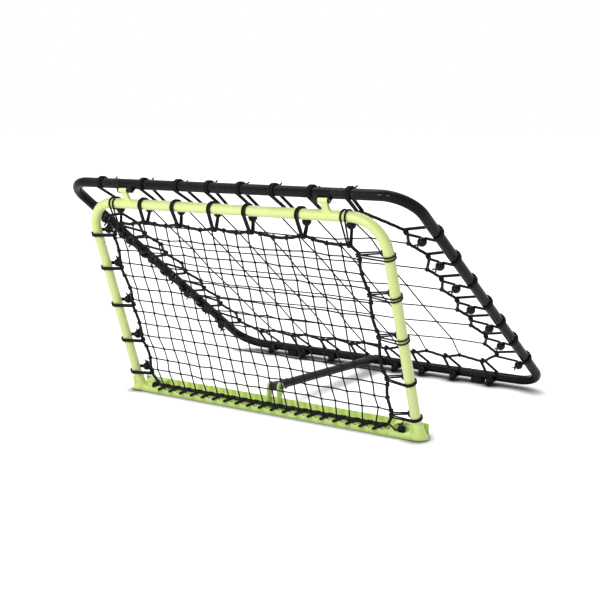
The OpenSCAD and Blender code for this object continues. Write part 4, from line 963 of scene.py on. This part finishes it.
# %% The ball and the cord's cut ends
def ball_profile(r):
    def rows(side):
        angles = (68, 58, 48, 38, 28, 18, 9, 3.2)
        return [(r * math.cos(math.radians(a)), side * r * math.sin(math.radians(a)))
                for a in (angles if side > 0 else reversed(angles))]
    mouth = [(0.10 * r, 0.80 * r), (0.20 * r, 0.84 * r), (0.24 * r, 0.97 * r),
             (0.30 * r, 0.965 * r)]
    seam = [(1.012 * r, 0.02 * r), (1.012 * r, -0.02 * r)]
    hole = [(0.30 * r, -0.965 * r), (0.24 * r, -0.95 * r), (0.16 * r, -0.86 * r)]
    return mouth + rows(1) + seam + rows(-1) + hole


tail_rng = np.random.default_rng(3)
OFF_FLOOR = 0.6


def cut_ends(at, away, count, length, splay, cord_r, ball_r=BALL_R):
    """Stubs of cord that leave a ball, none of them dipping into the floor."""
    away = unit(away)
    u = unit(np.cross(away, (0.3, 0.2, 0.9)))
    w = np.cross(away, u)
    stubs = []
    for k in range(count):
        turn = 2 * math.pi * (k + 0.25) / count + tail_rng.uniform(-0.5, 0.5)
        out = unit(away + splay * (math.cos(turn) * u + math.sin(turn) * w))
        reach = length * tail_rng.uniform(0.7, 1.2)
        start = at + away * ball_r * 0.8
        bend = start + unit(out + 0.3 * away) * reach * 0.4
        path = np.array([start, bend, start + out * reach])
        path[:, 2] = np.maximum(path[:, 2], cord_r + OFF_FLOOR)
        stubs.append(sweep(path, [cord_r, cord_r * 0.95, cord_r * 0.8], sides=7))
    return stubs


# %% [markdown]
# Now the hooks themselves. A hook is described by where it sits on its tube and by three
# directions: towards the net, along the tube, and off the plane. With those, the same flat
# path serves all four sides of both frames. What a whole row of hooks shares is its style.

# %% Hang a cord
cord_lengths = []


def hang(place, axes, reach, rope_r, meet, drift, meet_shift, style, cords, balls):
    axes = np.array(axes)
    strands = ball_cord(reach, rope_r, meet, drift, meet_shift, style["spread"], style["cord_r"])
    cord_lengths.append(sum(length_of(strand) for strand in strands))
    for strand in strands:
        cords.append(sweep(smooth(place + strand @ axes, 3), style["cord_r"], sides=8))
    neck = place + np.array([meet[0], meet_shift, meet[1]]) @ axes
    centre = neck + np.array(style["drop"]) @ axes
    facing = centre - neck if any(style["drop"]) else centre - place - reach * axes[0]
    balls.append(lathe(ball_profile(BALL_R), centre, -facing))
    away = np.array(style["tails"]) @ axes
    cords.extend(cut_ends(centre, away, style["ends"], style["tail"], style["splay"],
                          0.95 * style["cord_r"]))


def on_circle(r, degrees):
    return r * math.cos(math.radians(degrees)), r * math.sin(math.radians(degrees))


down_front, down_rear = front_pt(0, 1) - front_pt(0, 0), rear_pt(0, 1) - rear_pt(0, 0)
front_normal = front_pt(0, 0, 1) - front_pt(0, 0, 0)
rear_normal = rear_pt(0, 0, 1) - rear_pt(0, 0, 0)
print("down the front plane:", down_front.round(3), "down the rear plane:", down_rear.round(3))

# %% [markdown]
# Along the front's top bar the balls hang behind the bar, some lower than others. The
# outer two cords were hooked with their strands apart, all others with them together. No
# two cords hang alike, so each hook gets its own row of numbers instead of a random shift.

# %% Cords of the front's top bar
# For each hook: x, distance to the rope, turn of the ball behind the bar, drift, ball's shift.
FRONT_TOP = [
    (-417, 66, 28, (12, 7, 4), 8), (-306, 55, 44, (14, 10, 8), 10), (-175, 57, 40, (10, 5, 1), 3),
    (-45, 61, 42, (14, 10, 7), 9), (86, 61, 28, (8, 3, 0), 5), (262, 62, 24, (12, 5, 1), 11),
    (405, 79, 20, (12, 6, 4), 10)]
JOINED = {"cord_r": 3.2, "spread": (3.2, 2.9), "drop": (0, 0, 0), "tails": (-0.2, 0.3, 1.0),
          "ends": 2, "tail": 9.0, "splay": 0.5}
APART = dict(JOINED, cord_r=2.6, spread=(7.0, 2.6))

front_balls = []
cords = []
for k, (x, reach, ball_turn, drift, ball_shift) in enumerate(FRONT_TOP):
    hang(front_pt(x, 0), (down_front, X_DIR, front_normal), reach, FRONT_ROPE_R,
         on_circle(SEAT, ball_turn), drift, ball_shift, APART if k in (0, 6) else JOINED,
         cords, front_balls)
add_piece("front_top_elastics", cords, elastic, "front_frame", ["front_cords_top"])

# %% [markdown]
# On the legs the same loops lie level, with each ball inside the leg and a little behind
# it. Down the left leg the balls hang further out and their cut ends stand up. Down the
# right leg the ends point back, and the strands lie further apart on the upper three hooks
# than on the lower two.

# %% Cords of the front's legs
# For each hook: distance down the leg, rope's x, drift; on the right also the strands' spread.
FRONT_LEFT = [(105, -453), (219, -463), (348, -456), (475, -457), (594, -456)]
FRONT_RIGHT = [(108, 430, (2, 1, 0), 4.4), (224, 443, (2, 0, -3), 4.4),
               (351, 448, (2, 1, -1), 5.2), (480, 451, (0, -2, -4), 2.5),
               (600, 445, (4, 4, 3), 2.6)]
LEFT_BALL_OUT = 7.4
LEFT_LEG = dict(JOINED, cord_r=3.0, spread=(3.0, 2.9), tails=(0.2, 1.0, 0.1), ends=4, tail=11.0,
                splay=1.0)
RIGHT_LEG = dict(JOINED, cord_r=2.4, tails=(-0.3, 0.2, 1.0), tail=8.0, splay=0.6)

cords = []
for s, rope_x in FRONT_LEFT:
    hang(front_pt(-FRONT_HALF, s), (X_DIR, -down_front, front_normal), FRONT_HALF + rope_x,
         FRONT_ROPE_R, on_circle(SEAT + LEFT_BALL_OUT, 35), (3, 1, 0), 5.5, LEFT_LEG,
         cords, front_balls)
add_piece("front_left_elastics", cords, elastic, "front_frame", ["front_cords_left"])

cords = []
for s, rope_x, drift, spread in FRONT_RIGHT:
    hang(front_pt(FRONT_HALF, s), (-X_DIR, -down_front, front_normal), FRONT_HALF - rope_x,
         FRONT_ROPE_R, on_circle(SEAT, 40), drift, 3, dict(RIGHT_LEG, spread=(spread, 3.2)),
         cords, front_balls)
add_piece("front_right_elastics", cords, elastic, "front_frame", ["front_cords_right"])
add_piece("front_cord_balls", front_balls, ball_plastic, "front_frame",
          ["front_balls"])

# %% [markdown]
# On the rear frame the two strands leave the tube well apart and meet at the rope. Along
# the top the balls hide behind the bar with their cut ends showing above it. Along the
# bottom they hang in front of the bar. At the sides each ball hangs below its strands.

# %% Cords of the rear frame
REAR_TOP_DRIFT = [(-18, 19), (-1, 15), (-13, 2), (6, 16), (5, 10), (-2, 7), (5, 15), (14, 16)]
REAR_SIDE_TO_NET = (36, 36, 38, 41, 25, 29, 15)
REAR_TOP = dict(JOINED, cord_r=3.0, spread=(3.7, 2.9), tails=(-1.0, 1.1, 0.35), tail=23.0,
                splay=0.4)
REAR_BASE = dict(JOINED, cord_r=2.8, spread=(2.8, 2.6), tails=(-0.4, -0.5, 0.8), ends=4,
                 tail=12.0, splay=0.9)
REAR_LEFT = dict(JOINED, cord_r=2.9, spread=(2.8, 2.6), drop=(0, -1, 12.5),
                 tails=(0.3, 0.6, 0.7), ends=4, tail=13.0, splay=1.0)
REAR_RIGHT = dict(REAR_LEFT, tails=(0.8, 0.35, 0.5), ends=2, tail=13.0, splay=0.45)

rear_balls = []
cords = []
for (x, s), (wrap, ball_shift) in zip(REAR_TOP_HOOKS, REAR_TOP_DRIFT):
    hang(rear_pt(x, 0), (down_rear, X_DIR, rear_normal), s, REAR_ROPE_R, on_circle(SEAT, 32),
         (wrap + 2, wrap - 2, wrap), ball_shift - 23, REAR_TOP, cords, rear_balls)
add_piece("rear_top_elastics", cords, elastic, "rear_frame", ["rear_cords_top"])

cords = []
for x, s in REAR_BASE_HOOKS:
    hang(rear_pt(x, REAR_LEN), (-down_rear, X_DIR, -rear_normal), REAR_LEN - s, REAR_ROPE_R,
         on_circle(SEAT, 56), (-8, 2, 3), -2, REAR_BASE, cords, rear_balls)
add_piece("rear_bottom_elastics", cords, elastic, "rear_frame", ["rear_cords_bottom"])

for name, side, hooks, style in (("left", -1, REAR_LEFT_HOOKS, REAR_LEFT),
                                 ("right", 1, REAR_RIGHT_HOOKS, REAR_RIGHT)):
    cords = []
    for (x, s), to_net in zip(hooks, REAR_SIDE_TO_NET):
        hang(rear_pt(side * REAR_HALF, s), (-side * X_DIR, down_rear, -rear_normal),
             REAR_HALF - abs(x), REAR_ROPE_R, (to_net, 14.0), (5, -2, -7), 4, style,
             cords, rear_balls)
    add_piece(f"rear_{name}_elastics", cords, elastic, "rear_frame",
              [f"rear_cords_{name}"])
add_piece("rear_cord_balls", rear_balls, ball_plastic, "rear_frame",
          ["rear_balls"])
print(f"{len(cord_lengths)} ball cords of {min(cord_lengths):.0f} to {max(cord_lengths):.0f} mm")

# %% [markdown]
# ## Lips and feet of the base
# The pleated wall ends in a thin rounded lip. It catches the light and draws a row of chevrons
# along the base, with a dark pocket behind each. The lip's lighter plastic is a painted highlight,
# and the pockets are real shade deepened by painted shade from the fold mask. A bevel on the wall
# would do, but the beam is a CAD solid and stays as it is, so the lip is a thin bead laid on its
# edge.

# %% Pleated lip
LACE_X0, LACE_PITCH = -455.0, 45.0
FRONT_EDGE_Y = FOOT_Y - 20.7
CREST_Y, CREST_H, CREST_SHIFT = FRONT_EDGE_Y + 8.5, 16.5, 10.7
PLEAT_DEPTH, VALLEY_H = 7.5, 11.0
FOLDS, LIP_R = 40, 1.45
lip = []
for k in range(1, FOLDS):
    x = LACE_X0 + LACE_PITCH * (k + 1) / 2 - CREST_SHIFT
    crest = k % 2 == 1
    lip.append(np.array([x, CREST_Y - (0 if crest else PLEAT_DEPTH),
                         CREST_H if crest else VALLEY_H]))
# The lip takes the lighter plastic as a painted highlight.
add_piece("pleated_lip", [sweep(eased(lip, 3), LIP_R, sides=9)], highlight_edge_plastic, "front_frame")

# %% [markdown]
# At its two ends the base flares out into a round foot about the leg. The foot is turned
# like the balls, from a profile that widens towards the floor, and then leaned over to
# follow the leg. It fits over most of the beam's square end as a skin.

# %% Round feet
foot_profile = [(17.0, 46.0), (18.3, 45.2), (18.8, 36.0), (20.4, 26.0), (23.2, 15.0),
                (25.8, 7.0), (26.8, 2.6), (26.2, 0.4), (6.0, 0.3)]
feet = []
for side in (-1, 1):
    foot_at = np.array([side * FRONT_HALF, FOOT_Y, 0.0])
    points, quads, ends, lay = lathe(foot_profile, foot_at, Z_AXIS)
    points[:, 1] -= points[:, 2] / math.tan(FRONT_SLOPE)
    feet.append((points, quads, ends, lay))
add_piece("base_end_flares", feet, green_plastic, "front_frame")

# %% [markdown]
# ## Lacing along the base
# One cord ties the net to the base. It runs behind the rope, comes over it at each strand,
# slants down over a crest of the pleated wall, turns in front of the pleat and climbs back
# beside itself. The two ends run over the rims of the end bowls into a ball each.

# %% Path of the lacing
LACE_R = 2.4
LACE_OFF = FRONT_ROPE_R + LACE_R + 0.4


def round_rope(x, degrees):
    a = math.radians(degrees)
    return front_pt(x, BASE_ROPE_S - LACE_OFF * math.cos(a), -LACE_OFF * math.sin(a))


def lacing_at(k):
    x = LACE_X0 + LACE_PITCH * k
    before_wall = [
        (x - 9, CREST_Y - 2.5, CREST_H + 3.4), (x - 15.5, CREST_Y - 5.6, CREST_H + 0.2),
        (x - 20.5, CREST_Y - 7.4, CREST_H - 3.2), (x - 17, CREST_Y - 7.0, CREST_H - 4.6),
        (x - 10, CREST_Y - 5.4, CREST_H - 0.9), (x - 3, CREST_Y - 5.0, CREST_H + 2.6)]
    return [round_rope(x - 4, -85), round_rope(x + 6, -30), round_rope(x + 8, 25),
            round_rope(x + 2, 75), *(np.array(at) for at in before_wall),
            round_rope(x + 5, 105), round_rope(x + 12, 60), round_rope(x + 14, -15),
            round_rope(x + 18, -85)]


def end_ball_at(side):
    return np.array([side * 462.0, FOOT_Y + 3, 19.0])


def lacing_end(side):
    ball = end_ball_at(side)
    under = np.array([side * 454.0, FOOT_Y - 7, 18.1])
    return [round_rope(side * 435, 25), round_rope(side * 443, 70),
            np.array([side * 450.0, FOOT_Y - 14.6, 20.0]), under,
            ball + 10.5 * unit(under - ball)]


route = lacing_end(-1)[::-1]
for k in inner_cols:
    route += lacing_at(k)
route += lacing_end(1)
lace_line = smooth(route, 4)
lace_parts = [sweep(lace_line, LACE_R, sides=9)]
print(f"lacing: {length_of(lace_line):.0f} mm")

# %% [markdown]
# Each end of the lacing is stopped by a ball like those of the cords, only smaller. It
# comes from the same profile, turned to face outwards, with three cut ends standing up.

# %% Balls at the ends of the lacing
end_balls = []
for side in (-1, 1):
    centre = end_ball_at(side)
    end_balls.append(lathe(ball_profile(12.0), centre, (-side * 0.6, -0.7, 0.25)))
    lace_parts.extend(cut_ends(centre, (-side * 0.5, 0.3, 1.0), 3, 12.0, 0.9, 2.3, ball_r=11.0))
add_piece("base_lacing_cord", lace_parts, elastic, "front_frame", ["base_lacing"])
add_piece("lacing_end_balls", end_balls, ball_plastic, "front_frame",
          ["lacing_balls"])

# %% [markdown]
# ## The studio
# A product is usually shown on a white floor that has no edge. More lamps would whiten the floor,
# but they would bleach the object too. So most of the floor's white is a glow of its own that only
# the camera, mirrors and clear things see, which the Light Path node picks out. It puts no light on
# the object. Close under a piece, the floor's colour and its glow both fade by an ambient-occlusion
# mask, which paints a dark contact shadow.

# %% Floor
def seen_directly(tree):
    """One for rays that look at a surface, nought for rays that carry light from it."""
    rays = tree.nodes.new("ShaderNodeLightPath")
    return math_node(tree, "MAXIMUM", rays.outputs["Is Camera Ray"], math_node(
        tree, "MAXIMUM", rays.outputs["Is Glossy Ray"], rays.outputs["Is Transmission Ray"]))


def studio_floor():
    tree, shader, material = new_material("studio floor")
    shader.inputs["Roughness"].default_value = 0.9
    shader.inputs["Specular IOR Level"].default_value = 0.0
    seen = seen_directly(tree)
    nearness = tree.nodes.new("ShaderNodeAmbientOcclusion")
    nearness.inputs["Distance"].default_value = 0.06
    nearness.samples = 8
    # Painted contact shadow: ambient occlusion darkens the floor's colour and its glow.
    open_floor = math_node(tree, "POWER", nearness.outputs["AO"], 4.0)
    shade = tree.nodes.new("ShaderNodeCombineColor")
    grey = range_node(tree, open_floor, 0.05, 0.80, 0.02, 0.66)
    for channel in shade.inputs[:3]:
        tree.links.new(grey, channel)
    tree.links.new(shade.outputs[0], shader.inputs["Base Color"])
    place = tree.nodes.new("ShaderNodeTexCoord")
    away = tree.nodes.new("ShaderNodeVectorMath")
    away.operation = "LENGTH"
    tree.links.new(place.outputs["Object"], away.inputs[0])
    far = range_node(tree, away.outputs["Value"], 1.2, 3.0, 0.85, 1.0)
    shader.inputs["Emission Color"].default_value = (1, 1, 1, 1)
    glow = math_node(tree, "MULTIPLY", seen, math_node(tree, "MULTIPLY", open_floor, far))
    tree.links.new(glow, shader.inputs["Emission Strength"])
    return material


FLOOR_HALF = 30
corners = [(-FLOOR_HALF, -FLOOR_HALF, 0), (FLOOR_HALF, -FLOOR_HALF, 0),
           (FLOOR_HALF, FLOOR_HALF, 0), (-FLOOR_HALF, FLOOR_HALF, 0)]
floor_mesh = bpy.data.meshes.new("floor")
floor_mesh.from_pydata(corners, [], [(0, 1, 2, 3)])
floor_mesh.materials.append(studio_floor())
floor = bpy.data.objects.new("floor", floor_mesh)
bpy.context.collection.objects.link(floor)
print(f"floor: {2 * FLOOR_HALF} m square")

# %% [markdown]
# The world around the floor is the same trick turned round: pure white to the eye, so that
# the background has no horizon, and dimmer as a lamp, so that the shadows keep some depth.

# %% World light
LAMP_SHARE = 0.64
world = bpy.data.worlds.new("studio")
bpy.context.scene.world = world
world.use_nodes = True
tree = world.node_tree
tree.nodes.clear()
seen = seen_directly(tree)
sky = tree.nodes.new("ShaderNodeBackground")
sky.inputs["Color"].default_value = (1, 1, 1, 1)
tree.links.new(range_node(tree, seen, 0, 1, LAMP_SHARE, 1.0), sky.inputs["Strength"])
world_out = tree.nodes.new("ShaderNodeOutputWorld")
tree.links.new(sky.outputs[0], world_out.inputs["Surface"])
print("the world lights the object at", LAMP_SHARE, "of what the eye sees")


# %% [markdown]
# Two small soft boxes near the camera give the short bright streaks on the bends of the
# tubes, and a long strip overhead gives their tops a sheen. A round tube mirrors a lamp as
# a line, so the lamps' places matter more than their power.

# %% Soft boxes
def soft_box(name, at, aim, size, power):
    data = bpy.data.lights.new(name, "AREA")
    data.shape = "RECTANGLE"
    data.size, data.size_y = size
    data.energy = power
    lamp = bpy.data.objects.new(name, data)
    lamp.location = at
    lamp.rotation_euler = (Vector(aim) - Vector(at)).to_track_quat("-Z", "Y").to_euler()
    bpy.context.collection.objects.link(lamp)
    print(f"{name}: {power} W")


soft_box("overhead strip", (-0.2, 0.1, 2.6), (0, -0.1, 0.3), (2.8, 0.8), 27)
soft_box("left of the camera", (-0.7, -3.05, 1.4), (0.1, -0.2, 0.4), (0.40, 0.40), 26)
soft_box("by the camera", (0.5, -3.2, 1.5), (0.1, -0.2, 0.4), (0.30, 0.40), 18)

bpy.context.scene.view_settings.view_transform = "Standard"
